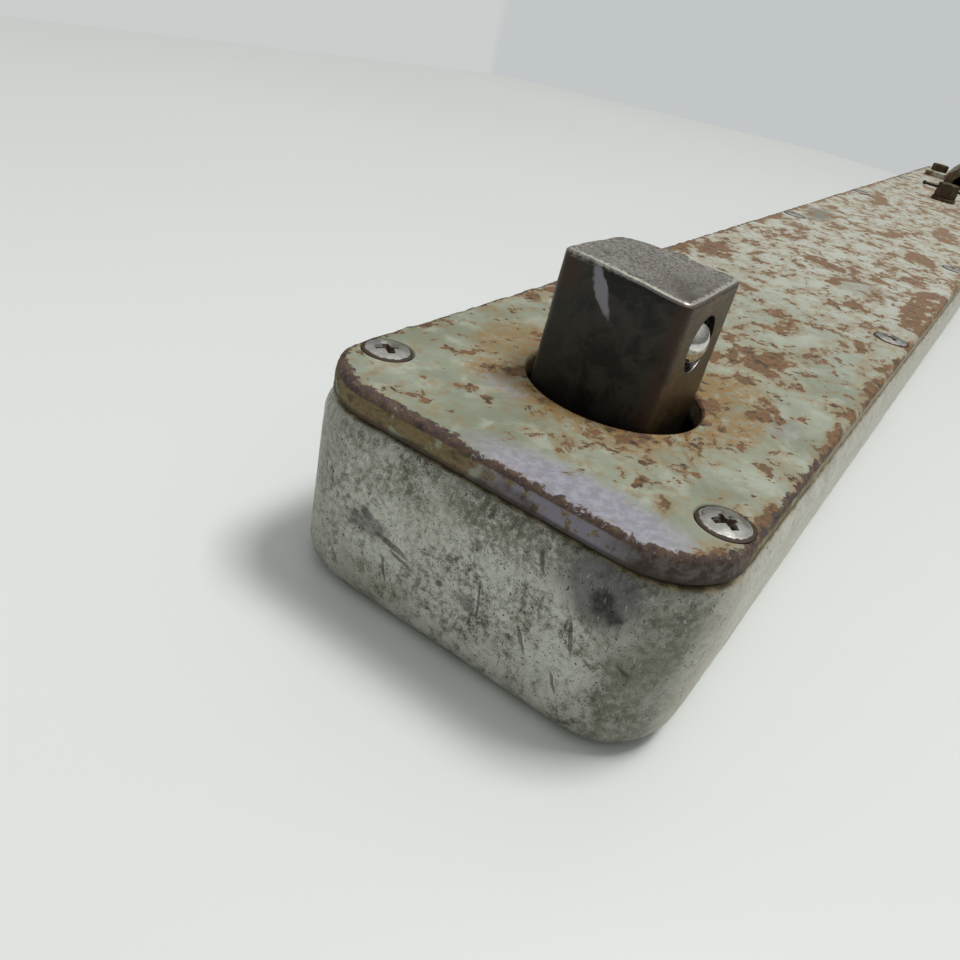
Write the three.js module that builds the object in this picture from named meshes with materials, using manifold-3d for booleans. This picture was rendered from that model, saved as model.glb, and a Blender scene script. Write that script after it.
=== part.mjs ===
// A heavy torque wrench with a 1 inch square drive: a long aluminium housing under a thick
// steel cover plate, a sprung beam and a dial inside, and a tubular handle clamped on top.
// Millimetres, +Z up. The tool lies on its dial side with the drive pointing up, its length
// along X with the drive end at -X. The origin is under the middle of its bounding box.
import * as THREE from "three";
import { mergeVertices } from "three/addons/utils/BufferGeometryUtils.js";
import Module from "manifold-3d";

const wasm = await Module();
wasm.setup();

// ---------- driving dimensions ----------
const overallLength = 1000;
const bodyLength = 730; // housing, from the drive end
const plateTop = 42; // height of the cover plate's face
const plateThickness = 4.6;
const rimTop = 36.1; // housing's top edge
const plateHalfWidth = 39.6;
const plateEnd = 0.1; // plate's end face, just inside the housing's
const plateChamfer = 0.8;
const cornerRadius = 15.5;
const bodyHalfWidth = 41; // at the shoulder under the rim
const wall = 6.6;
const floorTop = 5.5;
const bottomRadius = 5;

const driveX = 45.5; // drive axis from the drive end
const driveSquare = 25.4;
const driveCorner = 2.1; // rounding of the square's edges
const driveProud = 25.2; // height above the plate
const driveHoleRadius = 17.5;
const headRadius = 21;
const headBottom = 9;
const headTop = 33;
const journalRadius = 11;
const bushRadius = 14.2;
const bossRadius = 17.5;
const bossTop = 8.6;

const ballRadius = 4.75; // 3/8 inch detent ball
const ballHeight = 14.3; // above the plate
const ballSink = 3.3; // ball centre behind the square's face
const detentBore = 4.95;
const detentLip = 4.5;
const detentMouth = 5.5;
const detentDepth = 16;

const screwInset = 16.9; // first screw from the drive end
const screwEdge = 5.8; // screw axis from the plate's side
const screwPitch = 137.8;
const screwsPerSide = 6;
const screwHeadRadius = 4.8;
const screwShankRadius = 2.3;

const beamHalfWidth = 11;
const beamBottom = 20.5;
const beamTop = 32.5;
const beamEnd = 532;
const anchorXs = [470, 509]; // the second anchor bolt comes up through the plate
const toothModule = 2 / 3;
const pinionTeeth = 18;
const sectorTeeth = 882; // of the full circle that the sector is cut from
const sectorShown = 14;
const pinionRadius = (toothModule * pinionTeeth) / 2;
const sectorRadius = (toothModule * sectorTeeth) / 2;
const dialX = driveX + sectorRadius + pinionRadius;
const bridgeX = dialX + 22; // pillars of the bridge over the pinion
const bridgeY = 25.5;
const gearBottom = 10.3;
const gearThickness = 2.2;
const armBottom = 12.8;
const armThickness = 1.8;

const windowRadius = 24;
const bezelRadius = 30;
const lensRadius = 26.2;
const dialRadius = 28.5;
const dialBottom = 8.8;

const tubeRadius = 13.4;
const tubeBore = 8;
const tubeMouth = 606;
const tubeZ = plateTop + 1; // half sunk in the cover
const troughStart = tubeMouth - 1.5;
const clampStart = 640;
const clampEnd = 668;
const clampBoltY = 24;
const clampBoltXs = [654];
const strapThickness = 3;
const gripStart = 862;
const gripThickness = 2.6;
const ribs = 6;
const ribPitch = 20;
const ribHeight = 3.4;
const capLength = 10;

const gap = 0.3; // between pieces that touch
const fine = 28; // segments of a large circle
const coarse = 12; // segments of a small one

// ---------- shape helpers ----------
const box = (x0, x1, y0, y1, z0, z1) =>
  new THREE.BoxGeometry(x1 - x0, y1 - y0, z1 - z0).translate((x0 + x1) / 2, (y0 + y1) / 2, (z0 + z1) / 2);

// A closed profile of [radius, height] pairs turned about Z at (x, y).
function turned(profile, x = 0, y = 0, segments = fine) {
  const points = profile.map(([r, z]) => new THREE.Vector2(r, z));
  return new THREE.LatheGeometry(points, segments).rotateX(Math.PI / 2).translate(x, y, 0);
}
const disc = (r, z0, z1, x = 0, y = 0, segments = fine) =>
  turned([[0, z0], [r, z0], [r, z1], [0, z1]], x, y, segments);
const ring = (inner, outer, z0, z1, x = 0, y = 0, segments = fine) =>
  turned([[inner, z0], [outer, z0], [outer, z1], [inner, z1], [inner, z0]], x, y, segments);
const hexagon = (acrossFlats, z0, z1, x, y) =>
  disc(acrossFlats / Math.sqrt(3), z0, z1, 0, 0, 6).rotateZ(Math.PI / 6).translate(x, y, 0);

function prism(points, z0, z1) {
  const shape = new THREE.Shape(points.map(([x, y]) => new THREE.Vector2(x, y)));
  return new THREE.ExtrudeGeometry(shape, { depth: z1 - z0, bevelEnabled: false }).translate(0, 0, z0);
}

// Outline of a rectangle with round corners, anticlockwise.
function roundedRect(x0, x1, halfWidth, radius, steps = 6) {
  const centres = [
    [x1 - radius, halfWidth - radius, 0],
    [x0 + radius, halfWidth - radius, 1],
    [x0 + radius, radius - halfWidth, 2],
    [x1 - radius, radius - halfWidth, 3],
  ];
  return centres.flatMap(([cx, cy, quarter]) =>
    Array.from({ length: steps + 1 }, (_, i) => {
      const a = ((quarter + i / steps) * Math.PI) / 2;
      return [cx + radius * Math.cos(a), cy + radius * Math.sin(a)];
    }),
  );
}

// A solid through outlines of equal point count, each [points, z], from the lowest up.
function loft(layers) {
  const count = layers[0][0].length;
  const flat = layers.flatMap(([points, z]) => points.flatMap(([x, y]) => [x, y, z]));
  const index = [];
  layers.slice(1).forEach((_, level) => {
    for (let i = 0; i < count; i++) {
      const a = level * count + i;
      const b = level * count + ((i + 1) % count);
      index.push(a, b, b + count, a, b + count, a + count);
    }
  });
  const cap = THREE.ShapeUtils.triangulateShape(layers[0][0].map(([x, y]) => new THREE.Vector2(x, y)), []);
  const top = (layers.length - 1) * count;
  cap.forEach(([a, b, c]) => index.push(a, c, b, top + a, top + b, top + c));
  return new THREE.BufferGeometry()
    .setAttribute("position", new THREE.BufferAttribute(new Float32Array(flat), 3))
    .setIndex(index);
}

// Cutting and joining.
function solid(geometry) {
  const bare = geometry.clone();
  bare.deleteAttribute("normal");
  bare.deleteAttribute("uv");
  const merged = mergeVertices(bare, 1e-4);
  const vertProperties = new Float32Array(merged.attributes.position.array);
  const triVerts = new Uint32Array(merged.index.array);
  return new wasm.Manifold(new wasm.Mesh({ numProp: 3, vertProperties, triVerts }));
}
function geometryOf(manifold) {
  const mesh = manifold.getMesh();
  return new THREE.BufferGeometry()
    .setAttribute("position", new THREE.BufferAttribute(new Float32Array(mesh.vertProperties), 3))
    .setIndex(new THREE.BufferAttribute(new Uint32Array(mesh.triVerts), 1));
}
const join = (...shapes) => geometryOf(shapes.map(solid).reduce((a, b) => a.add(b)));
const cut = (base, ...tools) => geometryOf(tools.map(solid).reduce((a, b) => a.subtract(b), solid(base)));

// Turns a shape about the handle's axis instead of about Z.
const along = (geometry) => geometry.rotateY(Math.PI / 2).translate(0, 0, tubeZ);
const trough = () => along(disc(tubeRadius + gap, troughStart, overallLength));

// ---------- finishes ----------
const finish = (color, roughness, metalness) => new THREE.MeshStandardMaterial({ color, roughness, metalness });
const castAluminium = finish(0x8d8f88, 0.6, 0.8);
const greenPaint = finish(0xaab5a4, 0.55, 0.2);
const darkSteel = finish(0x2a2825, 0.45, 0.9);
const brightSteel = finish(0xc8c8c8, 0.25, 1);
const rustySteel = finish(0x5a4636, 0.8, 0.6);
const bronze = finish(0xa9803f, 0.4, 0.9);
const feltBlack = finish(0x2b2620, 0.9, 0);
const dialWhite = finish(0xe8e6dc, 0.5, 0);
const pointerRed = finish(0xb02418, 0.5, 0);
const clearGlass = new THREE.MeshStandardMaterial({ color: 0xffffff, roughness: 0.1, transparent: true, opacity: 0.35 });
const gripRubber = finish(0x1d1d1e, 0.8, 0);

const wrench = new THREE.Group();
wrench.position.x = -overallLength / 2; // below, x is counted from the drive end
function piece(name, geometry, material) {
  const mesh = new THREE.Mesh(geometry, material);
  mesh.name = name;
  wrench.add(mesh);
}

// ---------- housing ----------
const plateX1 = bodyLength - plateEnd;
const coverScrews = [-1, 1].flatMap((side) =>
  Array.from({ length: screwsPerSide }, (_, i) => ({
    x: screwInset + i * screwPitch,
    y: side * (plateHalfWidth - screwEdge),
  })),
);

function housing() {
  const outline = (inset, z) => [
    roundedRect(inset, bodyLength - inset, bodyHalfWidth - inset, cornerRadius - inset * 0.5),
    z,
  ];
  const rounding = [0, 22.5, 45, 67.5, 90].map((degrees) => {
    const a = (degrees * Math.PI) / 180;
    return outline(0.5 + bottomRadius * (1 - Math.sin(a)), bottomRadius * (1 - Math.cos(a)));
  });
  const rim = [roundedRect(0, bodyLength, plateHalfWidth, cornerRadius - 1), rimTop];
  const shell = loft([...rounding, outline(0, rimTop - 4), rim]);
  const cavity = prism(
    roundedRect(wall, bodyLength - wall, bodyHalfWidth - wall - 1, cornerRadius - wall),
    floorTop,
    rimTop + 1,
  );
  const inside = [
    disc(bossRadius, floorTop - 1, bossTop, driveX), // seat of the lower bush
    ring(lensRadius + gap, dialRadius + 1.5, floorTop - 1, dialBottom - gap, dialX), // dial seat
    ...anchorXs.map((x) => box(x - 13, x + 13, -14, 14, floorTop - 1, beamBottom - gap)),
    ...coverScrews.map(({ x, y }) => disc(5.5, floorTop - 1, rimTop, x, y, coarse)),
    ...[-1, 1].map((side) => disc(4, floorTop - 1, armBottom + 1.2, bridgeX, side * bridgeY, coarse)),
  ];
  const open = solid(shell).subtract(solid(cavity));
  const filled = inside.reduce((a, b) => a.add(solid(b)), open);
  const holes = [
    disc(bushRadius + gap, 2.5, bossTop + 1, driveX),
    disc(bezelRadius + gap, -1, 2.9, dialX),
    disc(lensRadius + gap, 2.8, floorTop + 1, dialX),
    ...anchorXs.map((x) => disc(4.1, floorTop + 2, beamBottom + 1, x, 0, coarse)),
    ...coverScrews.map(({ x, y }) => disc(screwShankRadius + gap, rimTop - 17, rimTop + 1, x, y, coarse)),
    ...[-1, 1].map((side) => disc(1.6, 8, armBottom + 3, bridgeX, side * bridgeY, coarse)),
    ...clampBoltXs.flatMap((x) => [-1, 1].map((side) => disc(3.6, 14, rimTop + 1, x, side * clampBoltY, coarse))),
  ];
  // blocks that the clamp bolts screw into
  const blocks = box(clampBoltXs[0] - 9, clampBoltXs.at(-1) + 9, -34, 34, floorTop - 1, rimTop - 0.5);
  return geometryOf([...holes, trough()].reduce((a, b) => a.subtract(solid(b)), filled.add(solid(blocks))));
}
piece("housing", housing(), castAluminium);

// ---------- gasket, cover plate and its screws ----------
const gasketBottom = rimTop + 0.2;
const plateBottom = plateTop - plateThickness;
const gasketOuter = roundedRect(1.4, bodyLength - 1.4, plateHalfWidth - 1.3, cornerRadius - 2);
const gasketInner = roundedRect(wall, bodyLength - wall, bodyHalfWidth - wall - 1, cornerRadius - wall);
const seatHoles = coverScrews.map(({ x, y }) => disc(screwShankRadius + gap, 0, 60, x, y, coarse));
piece(
  "cover_gasket",
  cut(prism(gasketOuter, gasketBottom, plateBottom - 0.2), prism(gasketInner, 0, 60), ...seatHoles, trough()),
  feltBlack,
);

const countersink = ({ x, y }) =>
  turned(
    [
      [0, plateBottom - 1],
      [screwShankRadius + gap, plateBottom - 1],
      [screwShankRadius + gap, plateTop - 2.9],
      [screwHeadRadius + 0.25, plateTop - 0.2],
      [screwHeadRadius + 0.25, plateTop + 1],
      [0, plateTop + 1],
    ],
    x,
    y,
    14,
  );

function coverPlate() {
  const edge = (inset, z) => [
    roundedRect(plateEnd + inset, plateX1 - inset, plateHalfWidth - inset, cornerRadius - inset),
    z,
  ];
  const slab = loft([edge(0, plateBottom), edge(0, plateTop - plateChamfer), edge(plateChamfer, plateTop)]);
  return cut(
    slab,
    disc(driveHoleRadius, 0, 60, driveX, 0, 48),
    disc(4.6, 0, 60, anchorXs[1], 0, coarse),
    ...coverScrews.map(countersink),
    trough(),
    ...clampBoltXs.flatMap((x) => [-1, 1].map((side) => disc(3.6, 0, 60, x, side * clampBoltY, coarse))),
  );
}
piece("cover_plate", coverPlate(), greenPaint);

// A cross for the driver, cut this deep below the top of the head.
const crossRecess = (x, y, top) => [
  box(x - 2.5, x + 2.5, y - 0.6, y + 0.6, top - 1.9, top + 1),
  box(x - 0.6, x + 0.6, y - 2.5, y + 2.5, top - 1.9, top + 1),
];
coverScrews.forEach(({ x, y }, i) => {
  const raised = turned(
    [
      [0, plateTop - 15],
      [screwShankRadius, plateTop - 15],
      [screwShankRadius, plateTop - 3],
      [screwHeadRadius, plateTop - 0.4],
      [screwHeadRadius, plateTop - 0.1],
      [screwHeadRadius * 0.75, plateTop + 0.45],
      [screwHeadRadius * 0.4, plateTop + 0.75],
      [0, plateTop + 0.85],
    ],
    x,
    y,
    14,
  );
  piece(`cover_screw_${String(i + 1).padStart(2, "0")}`, cut(raised, ...crossRecess(x, y, plateTop + 0.85)), brightSteel);
});

// ---------- square drive ----------
const driveTop = plateTop + driveProud;
function driveSpindle() {
  const half = driveSquare / 2;
  const squareAt = (inset, z) => [
    roundedRect(driveX - half + inset, driveX + half - inset, half - inset, driveCorner, 4),
    z,
  ];
  const square = loft([squareAt(0, headTop - 1), squareAt(0, driveTop - 1.6), squareAt(1.1, driveTop)]);
  const head = disc(headRadius, headBottom, headTop, driveX, 0, 36);
  const journal = disc(journalRadius, 2.8, headBottom + 1, driveX);
  const across = (r, depth, start = 0) =>
    new THREE.CylinderGeometry(r, r, depth, 24).translate(driveX, -half + start + depth / 2, plateTop + ballHeight);
  return cut(
    join(square, head, journal),
    across(detentMouth, 2, -1),
    across(detentLip, 3, 0),
    across(detentBore, detentDepth - 1.6, 1.6),
    // slot that the beam's tongue lies in, and the pocket under it for the pointer arm
    box(driveX + 8, driveX + 40, -beamHalfWidth - 1.4, beamHalfWidth + 1.4, beamBottom - gap, headTop + 1),
    box(driveX + 12, driveX + 40, -6.3, 6.3, headBottom - 1, armBottom + armThickness + gap),
    disc(1.8, armBottom, armBottom + 8, driveX + 16.5, 0, coarse),
  );
}
piece("square_drive", driveSpindle(), darkSteel);
piece("lower_bush", ring(journalRadius + 0.15, bushRadius, 2.8, bossTop, driveX), bronze);

// Ball and spring, across the drive along Y.
const ballY = -driveSquare / 2 + ballSink;
const ballZ = plateTop + ballHeight;
piece("detent_ball", new THREE.SphereGeometry(ballRadius, 18, 12).translate(driveX, ballY, ballZ), brightSteel);
function detentSpring() {
  const start = ballY + ballRadius + 0.4;
  const end = -driveSquare / 2 + detentDepth - 0.4;
  const turns = 4;
  const points = Array.from({ length: turns * 10 + 1 }, (_, i) => {
    const a = (i / 10) * Math.PI * 2;
    return new THREE.Vector3(
      driveX + 3.6 * Math.cos(a),
      start + 0.4 + ((end - start - 0.8) * i) / (turns * 10),
      ballZ + 3.6 * Math.sin(a),
    );
  });
  const wire = new THREE.Shape().absarc(0, 0, 0.4, 0, Math.PI * 2);
  return new THREE.ExtrudeGeometry(wire, {
    extrudePath: new THREE.CatmullRomCurve3(points),
    steps: turns * 10,
    curveSegments: 3,
  });
}
piece("detent_spring", detentSpring(), darkSteel);

// ---------- sprung beam and its anchor ----------
piece(
  "torque_beam",
  cut(
    box(driveX + 9.3, beamEnd, -beamHalfWidth, beamHalfWidth, beamBottom, beamTop),
    ...anchorXs.map((x) => disc(4.6, 0, 60, x, 0, coarse)),
  ),
  darkSteel,
);
const boltShank = (x, y, z0, z1, r) => disc(r, z0, z1, x, y, coarse);
piece(
  "anchor_bolt_inner",
  join(boltShank(anchorXs[0], 0, floorTop + 3, beamTop + 1, 3.8), hexagon(13, beamTop + 0.2, beamTop + 3.6, anchorXs[0], 0)),
  darkSteel,
);
const anchorWasherTop = plateTop + 1.9;
const anchorHeadTop = plateTop + 10;
piece("anchor_washer", ring(4.4, 7, plateTop + 0.2, anchorWasherTop, anchorXs[1], 0, 24), rustySteel);
const wireZ = anchorWasherTop + 5;
const crossHole = new THREE.CylinderGeometry(1.2, 1.2, 40, 12).translate(anchorXs[1], 0, wireZ);
piece(
  "anchor_bolt_outer",
  cut(
    join(
      boltShank(anchorXs[1], 0, floorTop + 3, anchorHeadTop - 1, 3.8),
      hexagon(11, anchorWasherTop + 0.2, anchorHeadTop, anchorXs[1], 0),
    ),
    crossHole,
  ),
  rustySteel,
);
piece(
  "locking_pin",
  join(
    new THREE.CylinderGeometry(0.85, 0.85, 28, 12).translate(anchorXs[1], 0, wireZ),
    new THREE.SphereGeometry(1.3, 12, 8).translate(anchorXs[1], 14, wireZ),
  ),
  rustySteel,
);

// ---------- pointer arm, gear sector, pinion ----------
const armEnd = driveX + sectorRadius - 5;
piece(
  "pointer_arm",
  cut(
    prism(
      [
        [driveX + 12.3, -6],
        [armEnd, -4],
        [armEnd, 4],
        [driveX + 12.3, 6],
      ],
      armBottom,
      armBottom + armThickness,
    ),
    disc(1.8, 0, 60, driveX + 16.5, 0, coarse),
    ...[12, 20].map((back) => disc(1.3, 0, 60, armEnd - back + 8, 0, coarse)),
  ),
  brightSteel,
);
piece(
  "arm_rivet",
  join(disc(1.5, armBottom - 1, armBottom + 7, driveX + 16.5, 0, coarse), disc(2.8, armBottom - 1.6, armBottom - 0.2, driveX + 16.5, 0, coarse)),
  darkSteel,
);

// Teeth as [angle about the gear, radius] with thin flanks, so that the pair runs with backlash.
const toothShape = [
  [-0.34, -1.2],
  [-0.2, 0],
  [-0.08, 0.85],
  [0.08, 0.85],
  [0.2, 0],
  [0.34, -1.2],
];
function gearOutline(teeth, radius, first, count, offset) {
  return Array.from({ length: count }, (_, i) => first + i + offset).flatMap((tooth) =>
    toothShape.map(([share, height]) => {
      const a = ((tooth + share) / teeth) * Math.PI * 2;
      const r = radius + height * toothModule;
      return [r * Math.cos(a), r * Math.sin(a)];
    }),
  );
}
function gearSector() {
  const teeth = gearOutline(sectorTeeth, sectorRadius, -sectorShown / 2, sectorShown + 1, 0);
  const reach = ((sectorShown + 1) / sectorTeeth) * Math.PI;
  const back = [reach, -reach].map((a) => [(sectorRadius - 7) * Math.cos(a), (sectorRadius - 7) * Math.sin(a)]);
  const blade = prism([...teeth, ...back], gearBottom, gearBottom + gearThickness);
  const tail = box(sectorRadius - 26, sectorRadius - 4, -4, 4, gearBottom, gearBottom + gearThickness);
  return cut(
    join(blade.translate(driveX, 0, 0), tail.translate(driveX, 0, 0)),
    ...[12, 20].map((behind) => disc(1.3, 0, 60, armEnd - behind + 8, 0, coarse)),
  );
}
piece("gear_sector", gearSector(), brightSteel);
[12, 20].forEach((behind, i) => {
  const x = armEnd - behind + 8;
  piece(
    `sector_rivet_${i + 1}`,
    join(
      disc(1, gearBottom - 0.4, armBottom + armThickness + 0.5, x, 0, 12),
      disc(1.9, armBottom + armThickness + 0.2, armBottom + armThickness + 0.9, x, 0, 12),
    ),
    darkSteel,
  );
});

function pinion() {
  // a gap between two teeth faces the sector, at the pinion's -X side
  const teeth = gearOutline(pinionTeeth, pinionRadius, 0, pinionTeeth, 0);
  const turn = Math.PI + Math.PI / pinionTeeth;
  const wheel = prism(teeth, gearBottom - 0.5, gearBottom + gearThickness + 0.5).rotateZ(turn);
  return join(wheel.translate(dialX, 0, 0), disc(1.2, 6.6, armBottom + 3.4, dialX, 0, coarse));
}
piece("dial_pinion", pinion(), brightSteel);

const bridgeBottom = armBottom + armThickness + 0.9;
piece(
  "pinion_bridge",
  cut(
    join(
      box(dialX - 5, bridgeX + 4, -6, 6, bridgeBottom, bridgeBottom + 1.8),
      box(bridgeX - 4, bridgeX + 4, -bridgeY - 4, bridgeY + 4, bridgeBottom, bridgeBottom + 1.8),
      ring(1.4, 4, bridgeBottom, bridgeBottom + 3.4, dialX),
    ),
    disc(1.5, 0, 60, dialX, 0, coarse),
    ...[-1, 1].map((side) => disc(1.8, 0, 60, bridgeX, side * bridgeY, coarse)),
  ),
  bronze,
);
[-1, 1].forEach((side, i) => {
  const y = side * bridgeY;
  piece(`bridge_spacer_${i + 1}`, ring(1.8, 3.6, armBottom + 1.4, bridgeBottom - 0.2, bridgeX, y, coarse), bronze);
  piece(
    `bridge_screw_${i + 1}`,
    join(disc(1.3, 9, bridgeBottom + 2.6, bridgeX, y, coarse), disc(2.8, bridgeBottom + 2, bridgeBottom + 3.6, bridgeX, y, coarse)),
    brightSteel,
  );
});

// ---------- dial on the underside ----------
piece("dial_bezel", turned([[windowRadius, 1.2], [windowRadius + 1.2, 0.3], [bezelRadius - 0.6, 0.3], [bezelRadius, 0.9], [bezelRadius, 2.6], [windowRadius, 2.6], [windowRadius, 1.2]], dialX), brightSteel);
piece("dial_lens", ring(2.4, lensRadius, 3, 4.6, dialX), clearGlass);
piece("dial_face", cut(disc(dialRadius, dialBottom, dialBottom + 0.8, dialX), disc(1.7, 0, 60, dialX, 0, coarse)), dialWhite);
const hand = (length, tailLength, z0, z1, width) =>
  join(
    prism([[dialX - width, -tailLength], [dialX + width, -tailLength], [dialX + 0.35, length], [dialX - 0.35, length]], z0, z1),
    disc(3.2, z0, z1, dialX, 0, coarse),
  );
piece("pointer_hand", cut(hand(21, 7, 6.9, 7.6, 1.1), disc(1.5, 0, 60, dialX, 0, coarse)), darkSteel);
piece(
  "peak_hand",
  join(hand(19, 5, 5.2, 5.8, 0.8), disc(2, 2.5, 5.4, dialX, 0, coarse), disc(5, 0.8, 2.6, dialX, 0, 16)),
  pointerRed,
);

// ---------- handle, clamped on top of the far end ----------
piece("handle_tube", along(ring(tubeBore, tubeRadius, tubeMouth, overallLength - capLength - gap)), rustySteel);
piece(
  "handle_grip",
  along(
    turned([
      [tubeRadius + gap, gripStart],
      [tubeRadius + gripThickness, gripStart],
      ...Array.from({ length: ribs }, (_, i) => gripStart + 4 + i * ribPitch).flatMap((x) => [
        [tubeRadius + ribHeight, x],
        [tubeRadius + ribHeight, x + ribPitch - 4],
        [tubeRadius + gripThickness, x + ribPitch - 3],
        [tubeRadius + gripThickness, x + ribPitch - 1],
      ]),
      [tubeRadius + gripThickness, overallLength - capLength - gap],
      [tubeRadius + gap, overallLength - capLength - gap],
      [tubeRadius + gap, gripStart],
    ], 0, 0, 20),
  ),
  gripRubber,
);
piece("handle_cap", along(turned([[0, overallLength - capLength], [tubeRadius + 3.2, overallLength - capLength], [tubeRadius + 3.2, overallLength - 3], [tubeRadius, overallLength], [0, overallLength]])), gripRubber);

// Strap over the tube, with a flange on each side.
function handleClamp() {
  const inner = tubeRadius + gap;
  const outer = inner + strapThickness;
  const half = 31;
  const seat = plateTop + gap;
  const flangeTop = seat + strapThickness;
  const outerStart = Math.asin((flangeTop - tubeZ) / outer);
  const arch = (radius, start, steps = 14) =>
    Array.from({ length: steps + 1 }, (_, i) => {
      const a = start + ((Math.PI - 2 * start) * i) / steps;
      return [radius * Math.cos(a), tubeZ + radius * Math.sin(a)];
    });
  const profile = [
    [half, seat],
    [half, flangeTop],
    ...arch(outer, outerStart),
    [-half, flangeTop],
    [-half, seat],
    [-inner, seat],
    ...arch(inner, 0).reverse(),
    [inner, seat],
  ];
  // the profile's (y, z) pairs are extruded along X
  const strap = prism(profile, clampStart, clampEnd).applyMatrix4(
    new THREE.Matrix4().makeBasis(new THREE.Vector3(0, 1, 0), new THREE.Vector3(0, 0, 1), new THREE.Vector3(1, 0, 0)),
  );
  const boltHole = (x, y) => disc(3.6, 0, 60, x, y, coarse);
  return cut(strap, ...clampBoltXs.flatMap((x) => [-1, 1].map((side) => boltHole(x, side * clampBoltY))));
}
piece("handle_clamp", handleClamp(), rustySteel);
clampBoltXs.forEach((x, i) =>
  [-1, 1].forEach((side, j) => {
    const y = side * clampBoltY;
    const seat = plateTop + 0.3 + strapThickness;
    piece(
      `clamp_bolt_${i * 2 + j + 1}`,
      join(boltShank(x, y, 16, seat + 1, 3.3), hexagon(10, seat + 0.2, seat + 4.8, x, y)),
      rustySteel,
    );
  }),
);

export default wrench;
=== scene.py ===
import math
import bmesh
import bpy
from mathutils import Matrix, Vector, noise


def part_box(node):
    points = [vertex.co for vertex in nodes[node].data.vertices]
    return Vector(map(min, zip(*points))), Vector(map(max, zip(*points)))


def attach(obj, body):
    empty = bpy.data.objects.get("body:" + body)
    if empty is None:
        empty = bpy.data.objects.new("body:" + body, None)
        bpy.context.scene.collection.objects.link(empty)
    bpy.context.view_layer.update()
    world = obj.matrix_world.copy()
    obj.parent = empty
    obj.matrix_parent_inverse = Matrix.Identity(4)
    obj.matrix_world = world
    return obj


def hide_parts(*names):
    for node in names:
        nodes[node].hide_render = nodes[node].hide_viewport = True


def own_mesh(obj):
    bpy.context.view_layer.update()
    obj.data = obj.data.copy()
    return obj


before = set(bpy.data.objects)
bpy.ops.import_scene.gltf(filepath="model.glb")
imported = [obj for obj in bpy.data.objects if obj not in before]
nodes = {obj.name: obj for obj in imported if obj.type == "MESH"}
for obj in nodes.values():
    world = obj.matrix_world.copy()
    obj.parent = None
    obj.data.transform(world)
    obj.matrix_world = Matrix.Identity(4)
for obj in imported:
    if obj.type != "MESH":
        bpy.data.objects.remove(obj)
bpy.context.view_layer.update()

# A torque wrench lying on its dial side: pale worn paint on a rusty steel cover, a cast
# aluminium housing and a square steel drive. Lengths below are in millimetres; "tool space"
# counts x from the drive end, y from the middle and z from the cover's face.
mm = 0.001


def centreOf(name):
    low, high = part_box(name)
    return (Vector(low) + Vector(high)) / 2


plateLow, plateHigh = (Vector(v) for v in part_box("cover_plate"))
housingLow, housingHigh = (Vector(v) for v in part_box("housing"))
toolOrigin = Vector((housingLow.x, 0, plateHigh.z))
driveX = (centreOf("lower_bush").x - housingLow.x) / mm


def atTool(x, y, z):
    # tool space millimetres to a point in metres
    return toolOrigin + Vector((x, y, z)) * mm


def toTool(point):
    return (point - toolOrigin) / mm


def toolBox(name):
    return [toTool(Vector(corner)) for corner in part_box(name)]


def circle(count):
    return [2 * math.pi * i / count for i in range(count)]


# the camera stands low over the drive end
cameraValues = {
    "place": (-99.6, -50.8, 63.6),
    "heading": 27.04,
    "down": 31.04,
    "roll": -14.54,
    "lens": 31.62,
}


def aimCamera():
    v = cameraValues
    heading, down, roll = (math.radians(v[k]) for k in ("heading", "down", "roll"))
    forward = Vector((math.cos(down) * math.cos(heading), math.cos(down) * math.sin(heading), -math.sin(down)))
    level = forward.cross(Vector((0, 0, 1))).normalized()
    under = forward.cross(level)
    right = level * math.cos(roll) + under * math.sin(roll)
    up = level * math.sin(roll) - under * math.cos(roll)
    data = bpy.data.cameras.new("camera")
    data.lens = v["lens"]
    data.sensor_width = 36
    data.clip_start = 0.005
    camera = bpy.data.objects.new("camera", data)
    bpy.context.scene.collection.objects.link(camera)
    turn = Matrix((right, up, -forward)).transposed()
    camera.matrix_world = Matrix.Translation(atTool(*v["place"])) @ turn.to_4x4()
    bpy.context.scene.camera = camera


aimCamera()


# node helpers
def plug(socket, value):
    if isinstance(value, bpy.types.NodeSocket):
        socket.id_data.links.new(value, socket)
    elif socket.type == "RGBA" and len(value) == 3:
        socket.default_value = (*value, 1)
    else:
        socket.default_value = value


def addNode(tree, kind, inputs=None, **settings):
    made = tree.nodes.new(kind)
    for key, value in settings.items():
        setattr(made, key, value)
    for key, value in (inputs or {}).items():
        plug(made.inputs[key], value)
    return made


def treeOf(*values):
    # the node tree that any of these sockets belongs to
    return next(value.id_data for value in values if isinstance(value, bpy.types.NodeSocket))


def calc(operation, a, b=0.0, c=0.0):
    return addNode(treeOf(a, b, c), "ShaderNodeMath", {0: a, 1: b, 2: c}, operation=operation).outputs[0]


def times(a, b):
    return calc("MULTIPLY", a, b)


def plus(a, b):
    return calc("ADD", a, b)


def minus(a, b):
    return calc("SUBTRACT", a, b)


def larger(a, b):
    return calc("MAXIMUM", a, b)


def scaled(a, factor, extra):
    return calc("MULTIPLY_ADD", a, factor, extra)


def vectorCalc(operation, a, b=(0, 0, 0)):
    made = addNode(treeOf(a, b), "ShaderNodeVectorMath", {0: a, 1: b}, operation=operation)
    return made.outputs["Value" if operation == "LENGTH" else "Vector"]


def remap(value, low, high, toLow=0.0, toHigh=1.0, kind="SMOOTHSTEP"):
    inputs = {"Value": value, "From Min": low, "From Max": high, "To Min": toLow, "To Max": toHigh}
    return addNode(treeOf(value), "ShaderNodeMapRange", inputs, interpolation_type=kind).outputs[0]


def mixColour(factor, a, b):
    return addNode(treeOf(factor, a, b), "ShaderNodeMix", {0: factor, 6: a, 7: b}, data_type="RGBA").outputs[2]


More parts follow.
